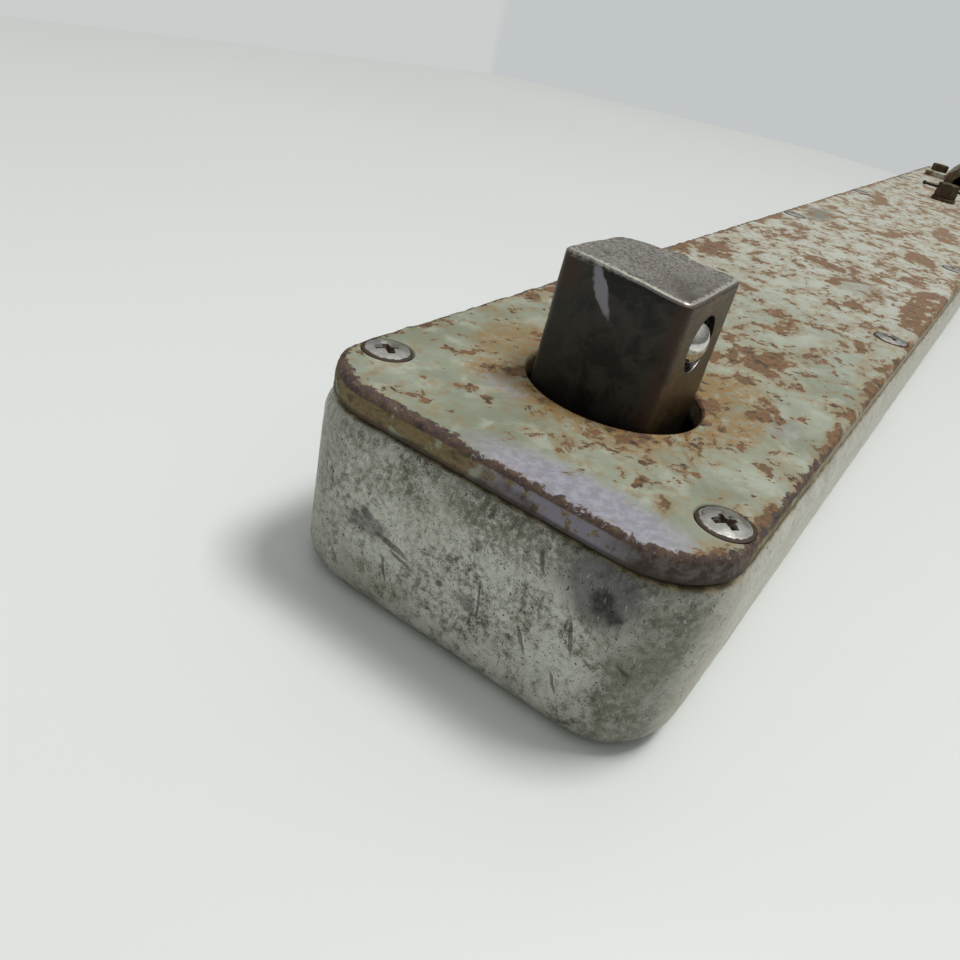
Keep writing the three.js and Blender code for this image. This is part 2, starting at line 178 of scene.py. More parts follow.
def noiseOf(vector, scale, detail=4.0, roughness=0.55, distortion=0.0):
    inputs = {"Vector": vector, "Scale": scale, "Detail": detail, "Roughness": roughness, "Distortion": distortion}
    return addNode(treeOf(vector), "ShaderNodeTexNoise", inputs).outputs[0]


def stretched(vector, scale=(1, 1, 1), turn=(0, 0, 0), shift=(0, 0, 0)):
    inputs = {"Vector": vector, "Location": shift, "Rotation": tuple(map(math.radians, turn)), "Scale": scale}
    return addNode(treeOf(vector), "ShaderNodeMapping", inputs).outputs[0]


def ramp(factor, stops):
    made = addNode(treeOf(factor), "ShaderNodeValToRGB", {0: factor})
    elements = made.color_ramp.elements
    while len(elements) < len(stops):
        elements.new(0.5)
    for element, (place, colour) in zip(elements, stops):
        element.position = place
        element.color = (*colour, 1)
    return made.outputs[0]


def srgb(r, g, b):
    def linear(c):
        c /= 255
        return c / 12.92 if c <= 0.04045 else ((c + 0.055) / 1.055) ** 2.4

    return (linear(r), linear(g), linear(b))


def splitXyz(vector):
    return tuple(addNode(treeOf(vector), "ShaderNodeSeparateXYZ", {0: vector}).outputs)


def startGroup(name, inputs, outputs):
    group = bpy.data.node_groups.new(name, "ShaderNodeTree")
    for label, kind, value in inputs:
        socket = group.interface.new_socket(name=label, in_out="INPUT", socket_type="NodeSocket" + kind)
        if value is not None:
            socket.default_value = value
    for label, kind in outputs:
        group.interface.new_socket(name=label, in_out="OUTPUT", socket_type="NodeSocket" + kind)
    return group, group.nodes.new("NodeGroupInput"), group.nodes.new("NodeGroupOutput")


def useGroup(group, inputs):
    made = treeOf(*inputs.values()).nodes.new("ShaderNodeGroup")
    made.node_tree = group
    for key, value in inputs.items():
        plug(made.inputs[key], value)
    return made


# shared shader groups
def makeSoftSpot():
    # a ragged oval mask round a centre
    group, start, end = startGroup(
        "softSpot",
        [
            ("Vector", "Vector", None),
            ("Centre", "Vector", (0, 0, 0)),
            ("Radii", "Vector", (10, 10, 10)),
            ("Turn", "Vector", (0, 0, 0)),
            ("Softness", "Float", 0.4),
            ("Raggedness", "Float", 4.0),
            ("Grain", "Float", 0.25),
        ],
        [("Mask", "Float")],
    )
    wobble = addNode(
        group, "ShaderNodeTexNoise", {"Vector": start.outputs["Vector"], "Scale": start.outputs["Grain"], "Detail": 4.0}
    )
    centred = vectorCalc("SUBTRACT", wobble.outputs["Color"], (0.5, 0.5, 0.5))
    scaled = addNode(
        group, "ShaderNodeVectorMath", {0: centred, "Scale": start.outputs["Raggedness"]}, operation="SCALE"
    )
    moved = vectorCalc("ADD", start.outputs["Vector"], scaled.outputs[0])
    placed = addNode(
        group,
        "ShaderNodeMapping",
        {
            "Vector": moved,
            "Location": start.outputs["Centre"],
            "Rotation": start.outputs["Turn"],
            "Scale": start.outputs["Radii"],
        },
        vector_type="TEXTURE",
    )
    distance = vectorCalc("LENGTH", placed.outputs[0])
    low = minus(1.0, start.outputs["Softness"])
    high = plus(1.0, start.outputs["Softness"])
    group.links.new(remap(distance, low, high, 1.0, 0.0), end.inputs["Mask"])
    return group


def makeRoundedEdge():
    # distance inwards from the edge of a rectangle with round corners, in its own plane
    group, start, end = startGroup(
        "roundedEdge",
        [
            ("Vector", "Vector", None),
            ("Centre", "Vector", (0, 0, 0)),
            ("Half Size", "Vector", (10, 10, 0)),
            ("Radius", "Float", 1.0),
        ],
        [("Distance", "Float")],
    )
    offset = vectorCalc("SUBTRACT", start.outputs["Vector"], start.outputs["Centre"])
    folded = vectorCalc("ABSOLUTE", offset)
    corner = vectorCalc("SUBTRACT", start.outputs["Half Size"], folded)
    x, y, _ = splitXyz(corner)
    inX = minus(start.outputs["Radius"], x)
    inY = minus(start.outputs["Radius"], y)
    beyond = addNode(group, "ShaderNodeCombineXYZ", {0: larger(inX, 0.0), 1: larger(inY, 0.0)})
    outside = minus(start.outputs["Radius"], vectorCalc("LENGTH", beyond.outputs[0]))
    inside = calc("MINIMUM", x, y)
    isCorner = times(calc("GREATER_THAN", inX, 0.0), calc("GREATER_THAN", inY, 0.0))
    mixed = addNode(group, "ShaderNodeMix", {0: isCorner, 2: inside, 3: outside}, data_type="FLOAT")
    group.links.new(mixed.outputs[0], end.inputs["Distance"])
    return group


def makeFlaking():
    # ragged flakes at two sizes; Amount 0 is none and 1 is everywhere
    group, start, end = startGroup(
        "flaking",
        [
            ("Vector", "Vector", None),
            ("Amount", "Float", 0.3),
            ("Scale", "Float", 0.12),
            ("Edge", "Float", 0.03),
        ],
        [("Mask", "Float"), ("Halo", "Float"), ("Shade", "Float")],
    )
    vector = start.outputs["Vector"]
    fineScale = times(start.outputs["Scale"], 3.1)
    large = noiseOf(vector, start.outputs["Scale"], 6.0, 0.56, 0.45)
    small = noiseOf(vector, fineScale, 5.0, 0.6, 0.2)
    both = plus(times(large, 0.66), times(small, 0.34))
    level = remap(start.outputs["Amount"], 0.0, 1.0, 0.72, 0.3, "LINEAR")
    top = plus(level, start.outputs["Edge"])
    wide = minus(level, times(start.outputs["Edge"], 2.2))
    group.links.new(remap(both, level, top), end.inputs["Mask"])
    group.links.new(remap(both, wide, level), end.inputs["Halo"])
    group.links.new(small, end.inputs["Shade"])
    return group


def makeScratches():
    # thin straight marks along one direction, broken up along their length
    group, start, end = startGroup(
        "scratches",
        [
            ("Vector", "Vector", None),
            ("Turn", "Vector", (0, 0, 0)),
            ("Stretch", "Vector", (1, 0.03, 1)),
            ("Scale", "Float", 1.0),
            ("Level", "Float", 0.68),
        ],
        [("Mask", "Float")],
    )
    turned = addNode(
        group,
        "ShaderNodeMapping",
        {"Vector": start.outputs["Vector"], "Rotation": start.outputs["Turn"], "Scale": start.outputs["Stretch"]},
    )
    lines = noiseOf(turned.outputs[0], start.outputs["Scale"], 2.0, 0.5)
    high = plus(start.outputs["Level"], 0.035)
    group.links.new(remap(lines, start.outputs["Level"], high), end.inputs["Mask"])
    return group


softSpot = makeSoftSpot()
roundedEdge = makeRoundedEdge()
flaking = makeFlaking()
scratches = makeScratches()


def newMaterial(name):
    material = bpy.data.materials.new(name)
    material.use_nodes = True
    tree = material.node_tree
    shader = tree.nodes["Principled BSDF"]
    coordinates = addNode(tree, "ShaderNodeTexCoord").outputs["Object"]
    space = stretched(coordinates, (1 / mm,) * 3, shift=tuple(-toolOrigin / mm))
    return material, shader, space


def addBump(shader, height, distance):
    bump = addNode(shader.id_data, "ShaderNodeBump", {"Height": height, "Distance": distance * mm, "Strength": 1.0})
    plug(shader.inputs["Normal"], bump.outputs[0])


def softMask(space, centre, radii, turn=(0, 0, 0), softness=0.4, raggedness=4.0, grain=0.25):
    inputs = {"Vector": space, "Centre": centre, "Radii": radii, "Turn": turn}
    inputs.update({"Softness": softness, "Raggedness": raggedness, "Grain": grain})
    return useGroup(softSpot, inputs).outputs[0]


def scratchMask(space, turn, stretch, scale, level):
    inputs = {"Vector": space, "Turn": turn, "Stretch": stretch, "Scale": scale, "Level": level}
    return useGroup(scratches, inputs).outputs[0]


def edgeDistance(space, centre, half, radius):
    inputs = {"Vector": space, "Centre": centre, "Half Size": half, "Radius": radius}
    return useGroup(roundedEdge, inputs).outputs[0]


def spotsMask(space, spots):
    # the strongest of several spots: (centre, radii, turn in degrees, strength)
    total = None
    for centre, radii, turn, strength in spots:
        mask = times(softMask(space, centre, radii, (0, 0, math.radians(turn))), strength)
        total = mask if total is None else larger(total, mask)
    return total


# cover plate paint
paintValues = {
    "paint": srgb(152, 157, 139),
    "paintPale": srgb(170, 174, 158),
    "paintDull": srgb(128, 132, 112),
    "rust": srgb(100, 78, 57),
    "rustDark": srgb(62, 50, 41),
    "rustBright": srgb(132, 94, 58),
    "paleRustAndSheen": srgb(146, 122, 98),
    "ochre": srgb(144, 110, 56),
    "primer": srgb(159, 156, 166),
    "bareEdge": srgb(74, 62, 60),
    "bareMetalGlint": srgb(196, 190, 180),
    "olive": srgb(104, 92, 60),
    "fineDirt": srgb(128, 120, 92),
    "paleFarPaintAndSheen": srgb(186, 189, 178),
    "soot": srgb(104, 108, 100),
    "primerDull": srgb(140, 138, 146),
    "bareDeep": srgb(46, 36, 32),
    "bareBrown": srgb(88, 64, 46),
    "bareGrey": srgb(96, 84, 72),
    "bareDull": srgb(60, 46, 38),
    "wallDark": srgb(58, 44, 36),
    "wallTan": srgb(128, 112, 78),
    "wallRed": srgb(96, 64, 44),
    "wallPaint": srgb(142, 146, 122),
    "wallPrimer": srgb(134, 129, 140),
    "scabDark": srgb(50, 39, 35),
    "scabPale": srgb(98, 88, 88),
    "wallPale": srgb(158, 146, 122),
    "grooveShade": srgb(52, 40, 30),
    "flakeScale": 0.105,
    "patchShare": 0.8,
    "dotScale": 0.19,
    "cornerRadius": 15.5,
}
# worn places on the face: x, y, half length, half width, turn in degrees, strength
rustSpots = [
    (88, -13, 19, 9, -4, 0.78),
    (66, -24, 9, 8, 20, 0.62),
    (82, 35, 15, 6, 0, 0.8),
    (128, -9, 15, 10, 25, 0.62),
    (150, 30, 17, 7, -10, 0.5),
    (186, 30, 22, 9, 6, 0.75),
    (204, -34, 42, 5.5, 2, 0.85),
    (221, -4, 8, 22, 0, 0.82),
    (250, -22, 28, 8, -12, 0.7),
    (290, -21, 15, 7, 14, 0.95),
    (262, 25, 30, 8, 12, 0.72),
    (330, 2, 34, 10, -16, 0.7),
    (372, -20, 30, 8, 8, 0.8),
    (420, 22, 34, 8, 10, 0.75),
    (470, -12, 32, 12, -10, 0.72),
    (560, 12, 40, 10, 8, 0.72),
    (650, -14, 36, 14, -6, 0.66),
]
sootSpots = [
    (314, 28, 16, 6, 4, 0.85),
    (202, -14, 12, 9, 20, 0.35),
    (96, 6, 10, 5, 30, 0.3),
]
primerSpots = [(3.5, -15, 6.5, 19, 0, 1.0), (25, 13, 3.5, 6, 0, 0.45), (62, -30, 6, 3, 0, 0.3)]
stainSpots = [(68, -15, 10, 7, -25, 0.9), (29, 19, 6, 5, 0, 0.8), (52, -24, 9, 4, 10, 0.8), (46, 25, 12, 6, 0, 0.75)]


def flatSpots(space, spots):
    return spotsMask(
        space, [((x, y, 0), (long, wide, 30), turn, strength) for x, y, long, wide, turn, strength in spots]
    )


def makePlatePaint():
    v = paintValues
    material, shader, space = newMaterial("wornGreenPaint")
    x, y, z = splitXyz(space)
    longHalf = (plateHigh.x - plateLow.x) / 2 / mm
    edge = edgeDistance(space, (longHalf, 0, 0), (longHalf, plateHigh.y / mm, 0), v["cornerRadius"])
    fromDrive = vectorCalc("LENGTH", vectorCalc("SUBTRACT", vectorCalc("MULTIPLY", space, (1, 1, 0)), (driveX, 0, 0)))

    # paint with broad tone changes and fine dirt
    tone = noiseOf(space, 0.035, 4.0, 0.6)
    colour = mixColour(remap(tone, 0.4, 0.62), v["paintDull"], v["paint"])
    colour = mixColour(remap(noiseOf(space, 0.11, 5.0, 0.6, 0.4), 0.48, 0.66, 0, 0.75), colour, v["paintPale"])
    speck = noiseOf(space, 1.3, 3.0, 0.6)
    colour = mixColour(remap(speck, 0.6, 0.72, 0, 0.5), colour, v["fineDirt"])
    # paler towards the far end: paler paint there, and a painted sheen where the far end is seen at a grazing angle
    colour = mixColour(remap(x, 50.0, 240.0, 0.0, 0.9), colour, v["paleFarPaintAndSheen"])
    soot = flatSpots(space, sootSpots)
    colour = mixColour(soot, colour, v["soot"])

    # bare primer along the near edge
    primer = flatSpots(space, primerSpots)
    primerTone = mixColour(remap(noiseOf(space, 0.6, 5.0, 0.65), 0.4, 0.62), v["primerDull"], v["primer"])
    colour = mixColour(primer, colour, primerTone)

    # yellow staining round the drive hole, and thin runs elsewhere
    ringNoise = noiseOf(space, 0.22, 5.0, 0.65, 0.5)
    ringWidth = scaled(ringNoise, 38.0, 12.0)
    stain = remap(fromDrive, 17.0, ringWidth, 1.0, 0.0)
    stain = larger(stain, flatSpots(space, stainSpots))
    stainBreak = remap(noiseOf(space, 0.5, 4.0, 0.7), 0.34, 0.58)
    colour = mixColour(times(stain, times(stainBreak, 0.95)), colour, v["ochre"])

    # flakes down to rust
    farther = remap(x, 30.0, 200.0, 0.31, 0.46, "LINEAR")
    nearEdge = remap(edge, 0.0, 4.5, 0.26, 0.0)
    nearHole = remap(fromDrive, 17.0, 27.0, 0.2, 0.0)
    amount = plus(plus(farther, nearEdge), nearHole)
    amount = minus(amount, times(primer, 0.25))
    amount = larger(amount, times(flatSpots(space, rustSpots), v["patchShare"]))
    flakes = useGroup(
        flaking,
        {
            "Vector": stretched(space, (0.85, 1.25, 1), (0, 0, 24)),
            "Amount": amount,
            "Scale": v["flakeScale"],
            "Edge": 0.04,
        },
    )
    mask, halo, shade = flakes.outputs
    crowd = remap(noiseOf(space, 0.06, 3.0, 0.5), 0.4, 0.62, 0.27, 0.42)
    crowd = minus(crowd, times(primer, 0.2))
    dots = useGroup(
        flaking,
        {
            "Vector": stretched(space, (1, 1.1, 1), (0, 0, 50), (40, 9, 0)),
            "Amount": crowd,
            "Scale": v["dotScale"],
            "Edge": 0.025,
        },
    )
    mask = larger(mask, dots.outputs[0])
    halo = larger(halo, times(dots.outputs[1], 0.7))
    rust = ramp(
        noiseOf(space, 0.33, 5.0, 0.65, 0.3),
        [(0.36, v["rustDark"]), (0.45, v["rust"]), (0.52, v["rustBright"]), (0.58, v["rust"]), (0.66, v["olive"])],
    )
    rust = mixColour(remap(shade, 0.55, 0.7, 0, 0.5), rust, v["rustDark"])
    # rust paler towards the far end: paler rust, and a painted sheen at the grazing far end
    rust = mixColour(remap(x, 50.0, 380.0, 0.0, 0.5), rust, v["paleRustAndSheen"])
    colour = mixColour(times(halo, 0.42), colour, v["ochre"])
    colour = mixColour(mask, colour, rust)

    # worn border of the top face, then the plate's own side wall
    borderNoise = noiseOf(space, 0.45, 5.0, 0.65, 0.3)
    nearEnd = times(remap(x, 12.0, 2.0, 0.0, 1.3), remap(y, 2.0, 9.0, -0.1, 1.0))
    border = minus(scaled(borderNoise, 6.0, -1.7), edge)
    border = plus(border, nearEnd)
    scab = noiseOf(space, 0.42, 8.0, 0.74, 0.4)
    bare = ramp(
        scab,
        [
            (0.36, v["bareDeep"]),
            (0.46, v["bareEdge"]),
            (0.52, v["bareBrown"]),
            (0.58, v["bareGrey"]),
            (0.66, v["bareDull"]),
        ],
    )
    # bright specks in the worn border: bare metal shown as painted glints on its bumps
    borderGlints = remap(noiseOf(space, 1.5, 3.0, 0.6), 0.64, 0.69)
    bare = mixColour(times(borderGlints, 0.32), bare, v["bareMetalGlint"])
    # the long side away from the light keeps a thinner, paler border
    border = minus(border, remap(times(remap(x, 40.0, 90.0), remap(y, 0.0, -20.0)), 0.0, 1.0, 0.0, 1.5))
    worn = remap(border, -0.25, 0.25)
    colour = mixColour(worn, colour, bare)

    side = remap(z, -0.9, -1.3)
    wallRust = ramp(
        noiseOf(stretched(space, (1, 1, 2.2)), 0.28, 6.0, 0.68, 0.4),
        [(0.32, v["wallDark"]), (0.44, v["olive"]), (0.55, v["wallTan"]), (0.66, v["wallRed"])],
    )
    leftPaint = remap(noiseOf(space, 0.2, 4.0, 0.6), 0.56, 0.62)
    wallRust = mixColour(leftPaint, wallRust, v["wallPaint"])
    wallPrimer = spotsMask(space, [((0, -14, -2.5), (9, 13, 7), 0, 1.0)])
    wallPrimer = times(wallPrimer, remap(noiseOf(space, 0.42, 6.0, 0.7), 0.42, 0.47))
    wall = mixColour(wallPrimer, wallRust, v["wallPrimer"])
    brownWall = spotsMask(space, [((4, -34, -3), (12, 11, 7), 0, 0.9), ((0, -6, -4.2), (6, 6, 1.6), 0, 0.7)])
    brownTone = mixColour(remap(scab, 0.42, 0.6), v["scabDark"], v["scabPale"])
    wall = mixColour(brownWall, wall, brownTone)
    paleWall = times(remap(x, 30.0, 80.0, 0.0, 0.7), remap(y, 0.0, -20.0))
    wall = mixColour(paleWall, wall, v["wallPale"])
    # painted shade low on the cover's side wall, over the groove to the housing
    grooveShade = remap(z, -3.5, -4.3)
    wall = mixColour(times(grooveShade, 0.8), wall, v["grooveShade"])
    colour = mixColour(side, colour, wall)
    plug(shader.inputs["Base Color"], colour)

    lost = larger(mask, worn)
    rough = scaled(lost, 0.3, 0.42)
    rough = plus(rough, times(speck, 0.12))
    plug(shader.inputs["Roughness"], rough)
    shader.inputs["Specular IOR Level"].default_value = 0.4
    height = minus(times(speck, 0.3), times(lost, 0.8))
    height = plus(height, times(times(lost, noiseOf(space, 1.1, 5.0, 0.7)), 0.7))
    addBump(shader, height, 0.15)
    return material


# cast aluminium
castValues = {
    "bright": srgb(206, 207, 198),
    "pale": srgb(182, 183, 171),
    "mid": srgb(148, 149, 135),
    "dark": srgb(90, 89, 75),
    "pit": srgb(44, 43, 34),
    "olive": srgb(112, 109, 80),
    "stain": srgb(78, 76, 80),
    # painted sheen on the flank on the ball's side
    "flank": srgb(206, 201, 187),
    # painted shade under the rim
    "underRimShade": srgb(100, 98, 80),
    "blot": srgb(46, 46, 44),
    "scratch": srgb(205, 205, 200),
    "rimDull": srgb(112, 96, 62),
    "rimTanAndHighlight": srgb(176, 160, 122),
}
# cuts in the end face: from y, z to y, z, and how wide
cuts = [
    (-21, -18, -23, -25, 0.28),
    (-13, -25, -15.5, -30, 0.3),
    (17, -24.5, 10, -26, 0.6),
    (14, -26.5, 9.5, -27.4, 0.35),
    (-13, -8.8, -14.3, -13, 0.4),
    (-4.6, -21.5, -5.6, -29, 0.22),
    (3.1, -26, 2.6, -27.2, 0.7),
    (21.5, -21, 18.5, -22.4, 0.8),
    (-20.8, -30, -22.5, -33.6, 0.3),
    (15.4, -28.5, 13.8, -33.5, 0.3),
    (30, -16, 28.5, -21, 0.25),
    (-30, -22, -33, -24, 0.35),
]


def makeCastAluminium():
    v = castValues
    material, shader, space = newMaterial("castAluminium")
    _, y, z = splitXyz(space)
    mottle = noiseOf(space, 0.12, 5.0, 0.66, 0.3)
    grain = noiseOf(space, 0.85, 9.0, 0.8, 0.2)
    both = plus(times(mottle, 0.42), times(grain, 0.58))
    colour = ramp(both, [(0.405, v["dark"]), (0.46, v["mid"]), (0.498, v["pale"]), (0.56, v["bright"])])
    sparkle = remap(noiseOf(space, 2.6, 2.0, 0.5), 0.62, 0.7, 0, 0.6)
    colour = mixColour(sparkle, colour, v["bright"])
    tint = remap(noiseOf(space, 0.07, 4.0, 0.6), 0.5, 0.68, 0, 0.4)
    colour = mixColour(tint, colour, v["olive"])
    worn = spotsMask(
        space,
        [((0, 4, -24), (8, 17, 10), 8, 0.75), ((0, -20, -24), (8, 9, 8), 0, 0.5), ((0, 33, -20), (8, 6, 10), 0, 0.4)],
    )
    colour = mixColour(times(worn, remap(grain, 0.44, 0.56)), colour, v["bright"])

    # painted shade low down where the rounded bottom turns away, darker towards two corners, and painted shade under
    # the rim
    low = remap(z, -34.0, -42.0, 0.0, 0.55)
    colour = mixColour(times(low, remap(mottle, 0.3, 0.6, 1.0, 0.5)), colour, v["dark"])
    corner = spotsMask(space, [((6, -38, -24), (14, 12, 30), 0, 0.5), ((-2, 36, -20), (8, 9, 18), 0, 0.4)])
    colour = mixColour(corner, colour, v["dark"])
    underRimShade = spotsMask(
        space,
        [
            ((0, 24, -12), (8, 16, 5), 0, 0.4),
            ((0, -6, -9.5), (8, 13, 4.5), 0, 0.7),
            ((0, -36, -30), (14, 7, 14), 0, 0.4),
        ],
    )
    colour = mixColour(times(underRimShade, remap(grain, 0.62, 0.46)), colour, v["underRimShade"])

    # painted sheen: the long flank on the ball's side is lightened where it catches a grazing reflection
    flank = remap(y, -36.5, -40.5, 0.0, 0.6)
    colour = mixColour(flank, colour, v["flank"])

    # oil stain with a dark blot of two parts on the end face
    stain = spotsMask(
        space,
        [
            ((0, -24, -11), (6, 7, 6.5), 20, 0.75),
            ((0, 20, -24), (5, 4.5, 2.4), 0, 0.55),
            ((0, -3, -27), (5, 2, 1.8), 0, 0.6),
        ],
    )
    colour = mixColour(stain, colour, v["stain"])
    blots = softMask(space, (0, -24.8, -12.3), (6, 2.0, 2.4), softness=0.45, raggedness=2.6, grain=0.45)
    blotTwo = softMask(space, (0, -27.2, -13.8), (6, 1.3, 1.5), softness=0.5, raggedness=2.6, grain=0.6)
    darkBlots = times(larger(blots, blotTwo), remap(grain, 0.4, 0.52, 0.6, 1.0))
    colour = mixColour(darkBlots, colour, v["blot"])

    # pits, scratches and cuts
    pits = remap(noiseOf(space, 1.7, 4.0, 0.66), 0.62, 0.655)
    colour = mixColour(times(pits, 0.85), colour, v["pit"])
    marks = None
    for turn, stretch, scale, level in (
        ((8, 0, 0), (1, 1, 0.07), 1.0, 0.72),
        ((-28, 0, 0), (1, 1, 0.1), 0.8, 0.72),
        ((38, 0, 0), (1, 1, 0.1), 1.1, 0.72),
        ((70, 0, 0), (1, 1, 0.1), 1.3, 0.71),
        ((0, 14, 0), (0.05, 1, 1), 0.8, 0.72),
    ):
        turn = tuple(math.radians(a) for a in turn)
        mark = times(scratchMask(space, turn, stretch, scale, level), 0.5)
        marks = mark if marks is None else larger(marks, mark)
    for y0, z0, y1, z1, width in cuts:
        middle = (0, (y0 + y1) / 2, (z0 + z1) / 2)
        length = math.hypot(y1 - y0, z1 - z0) / 2
        lean = math.atan2(y0 - y1, z1 - z0)
        marks = larger(marks, softMask(space, middle, (3, width, length), (lean, 0, 0), 0.35, 0.7, 0.9))
    colour = mixColour(times(marks, 0.66), colour, v["pit"])
    bright = scratchMask(space, (0.5, 0, 0.3), (0.06, 1, 0.3), 1.6, 0.68)
    colour = mixColour(times(bright, 0.4), colour, v["scratch"])

    # tan line on top of the rim, with a painted highlight along that edge
    rim = remap(plus(z, times(grain, 0.9)), -6.1, -5.75)
    rimTone = mixColour(remap(noiseOf(space, 0.3, 4.0, 0.6), 0.42, 0.6), v["rimDull"], v["rimTanAndHighlight"])
    colour = mixColour(times(rim, 0.85), colour, rimTone)
    plug(shader.inputs["Base Color"], colour)

    shader.inputs["Metallic"].default_value = 0.4
    rough = scaled(both, 0.35, 0.28)
    plug(shader.inputs["Roughness"], larger(rough, times(pits, 0.8)))
    height = minus(both, times(larger(pits, marks), 0.8))
    addBump(shader, height, 0.22)
    return material


# drive steel
driveValues = {
    "black": srgb(34, 32, 29),
    "brown": srgb(64, 47, 38),
    "ground": srgb(86, 69, 40),
    "groundDark": srgb(60, 47, 29),
    "top": srgb(122, 119, 112),
    "gleam": srgb(186, 182, 172),
    "blackWorn": srgb(60, 57, 52),
    "speck": srgb(70, 62, 52),
    "leftSide": srgb(62, 60, 54),
    "streak": srgb(150, 146, 156),
    "groundWarm": srgb(112, 84, 56),
    "topDull": srgb(92, 88, 80),
    "topBrown": srgb(96, 78, 60),
    "boreShadeAndGrime": srgb(30, 26, 22),
    "sunkDark": srgb(38, 30, 24),
    "square": 25.4,
    "corner": 2.1,
    "proud": 25.2,
}


def makeDriveSteel():
    v = driveValues
    material, shader, space = newMaterial("driveSteel")
    x, y, z = splitXyz(space)
    kind = addNode(shader.id_data, "ShaderNodeAttribute", {}, attribute_name="faceKind").outputs["Vector"]
    groundSide, topFace, _ = splitXyz(kind)
    half = v["square"] / 2
    blotch = noiseOf(space, 0.2, 5.0, 0.62, 0.5)
    fine = noiseOf(space, 1.6, 5.0, 0.7)
    dark = mixColour(remap(blotch, 0.4, 0.6, 0, 0.9), v["black"], v["blackWorn"])
    dark = mixColour(remap(fine, 0.55, 0.72, 0, 0.5), dark, v["speck"])
    dark = mixColour(remap(y, 1.0, 10.0, 0, 0.6), dark, v["leftSide"])
    # brown towards the ground side's edge and high on the far edge
    edgeRust = remap(y, -half + 4.5, -half + 0.8)
    edgeRust = times(edgeRust, remap(blotch, 0.3, 0.6, 0.35, 1.0))
    upper = spotsMask(space, [((driveX - half, half, 22), (6, 5, 5), 0, 0.8)])
    dark = mixColour(larger(edgeRust, upper), dark, v["brown"])
    # a run of pale paint near the far top corner
    streak = softMask(space, (driveX - half, 3.4, 20.6), (3, 1.15, 4.8), (math.radians(-31), 0, 0), 0.2, 1.6, 0.5)
    streak = times(streak, remap(fine, 0.25, 0.38))
    dark = mixColour(times(streak, 0.8), dark, v["streak"])

    brushed = noiseOf(stretched(space, (0.25, 1, 3.2)), 0.9, 5.0, 0.7)
    ground = mixColour(remap(brushed, 0.36, 0.62), v["groundDark"], v["ground"])
    groundEdge = remap(x, driveX - half + 3.5, driveX - half + 0.4)
    farEdge = remap(x, driveX + half - 2.5, driveX + half)
    ground = mixColour(times(larger(groundEdge, farEdge), 0.8), ground, v["brown"])
    ground = mixColour(remap(blotch, 0.54, 0.66, 0, 0.55), ground, v["groundWarm"])

    topTone = mixColour(remap(noiseOf(space, 0.12, 5.0, 0.6, 0.6), 0.38, 0.6), v["topDull"], v["top"])
    topTone = mixColour(remap(noiseOf(space, 0.35, 6.0, 0.7, 0.6), 0.5, 0.62, 0, 0.7), topTone, v["topBrown"])
    border = edgeDistance(space, (driveX, 0, 0), (half, half, 0), v["corner"])
    # painted highlight along the edge of the top face, over worn steel
    topTone = mixColour(remap(scaled(fine, -3.2, border), -0.9, -0.2, 0.85, 0.0), topTone, v["gleam"])

    colour = mixColour(groundSide, dark, ground)
    colour = mixColour(topFace, colour, topTone)
    # bright arrises round the top: worn edges with a painted highlight
    arris = times(remap(z, v["proud"] - 1.5, v["proud"] - 0.5), remap(fine, 0.42, 0.56))
    colour = mixColour(times(arris, 0.55), colour, v["gleam"])
    # painted shade down inside the ball's hole, with grime
    across = vectorCalc("LENGTH", vectorCalc("MULTIPLY", vectorCalc("SUBTRACT", space, (driveX, 0, 14.3)), (1, 0, 1)))
    hole = times(remap(across, 6.2, 5.5), remap(y, -half - 0.05, -half + 0.3))
    colour = mixColour(hole, colour, v["boreShadeAndGrime"])
    # darker where the square goes down into the cover's hole
    sunk = remap(z, 1.0, -3.0, 0.0, 0.85)
    colour = mixColour(sunk, colour, v["sunkDark"])
    plug(shader.inputs["Base Color"], colour)
    shader.inputs["Metallic"].default_value = 0.55
    rough = scaled(fine, 0.35, 0.24)
    plug(shader.inputs["Roughness"], rough)
    height = plus(times(fine, 0.35), times(brushed, 0.4))
    addBump(shader, height, 0.07)
    return material


# plain metals, rust, rubber
def makeMetal(name, tone, dark, metallic=0.9, roughness=0.3, grain=1.5, rustAmount=0.0, bump=0.04):
    material, shader, space = newMaterial(name)
    fine = noiseOf(space, grain, 5.0, 0.65)
    colour = mixColour(remap(fine, 0.38, 0.62), dark, tone)
    rough = scaled(fine, 0.25, roughness - 0.12)
    height = fine
    if rustAmount:
        flakes = useGroup(flaking, {"Vector": space, "Amount": rustAmount, "Scale": 0.28, "Edge": 0.05})
        mask, halo, shade = flakes.outputs
        rust = ramp(shade, [(0.38, srgb(48, 38, 30)), (0.5, srgb(82, 64, 46)), (0.62, srgb(108, 84, 58))])
        colour = mixColour(times(halo, 0.5), colour, srgb(84, 66, 44))
        colour = mixColour(mask, colour, rust)
        rough = larger(rough, times(mask, 0.85))
        height = plus(height, mask)
    plug(shader.inputs["Base Color"], colour)
    plug(shader.inputs["Roughness"], rough)
    shader.inputs["Metallic"].default_value = metallic
    addBump(shader, height, bump)
    return material


def makeScrewMetal():
    # bright plated head, with dirt packed into the cross and round the rim
    material, shader, space = newMaterial("platedScrew")
    z = splitXyz(space)[2]
    fine = noiseOf(space, 0.7, 3.0, 0.6)
    colour = mixColour(remap(fine, 0.4, 0.62), srgb(204, 201, 194), srgb(228, 226, 220))
    soil = plus(z, times(fine, 0.3))
    dirt = remap(soil, 0.4, 0.26)
    soilTone = mixColour(fine, srgb(34, 25, 18), srgb(74, 54, 36))
    colour = mixColour(dirt, colour, soilTone)
    plug(shader.inputs["Base Color"], colour)
    plug(shader.inputs["Metallic"], minus(1.0, times(dirt, 0.9)))
    plug(shader.inputs["Roughness"], scaled(dirt, 0.5, scaled(fine, 0.16, 0.13)))
    addBump(shader, fine, 0.02)
    return material


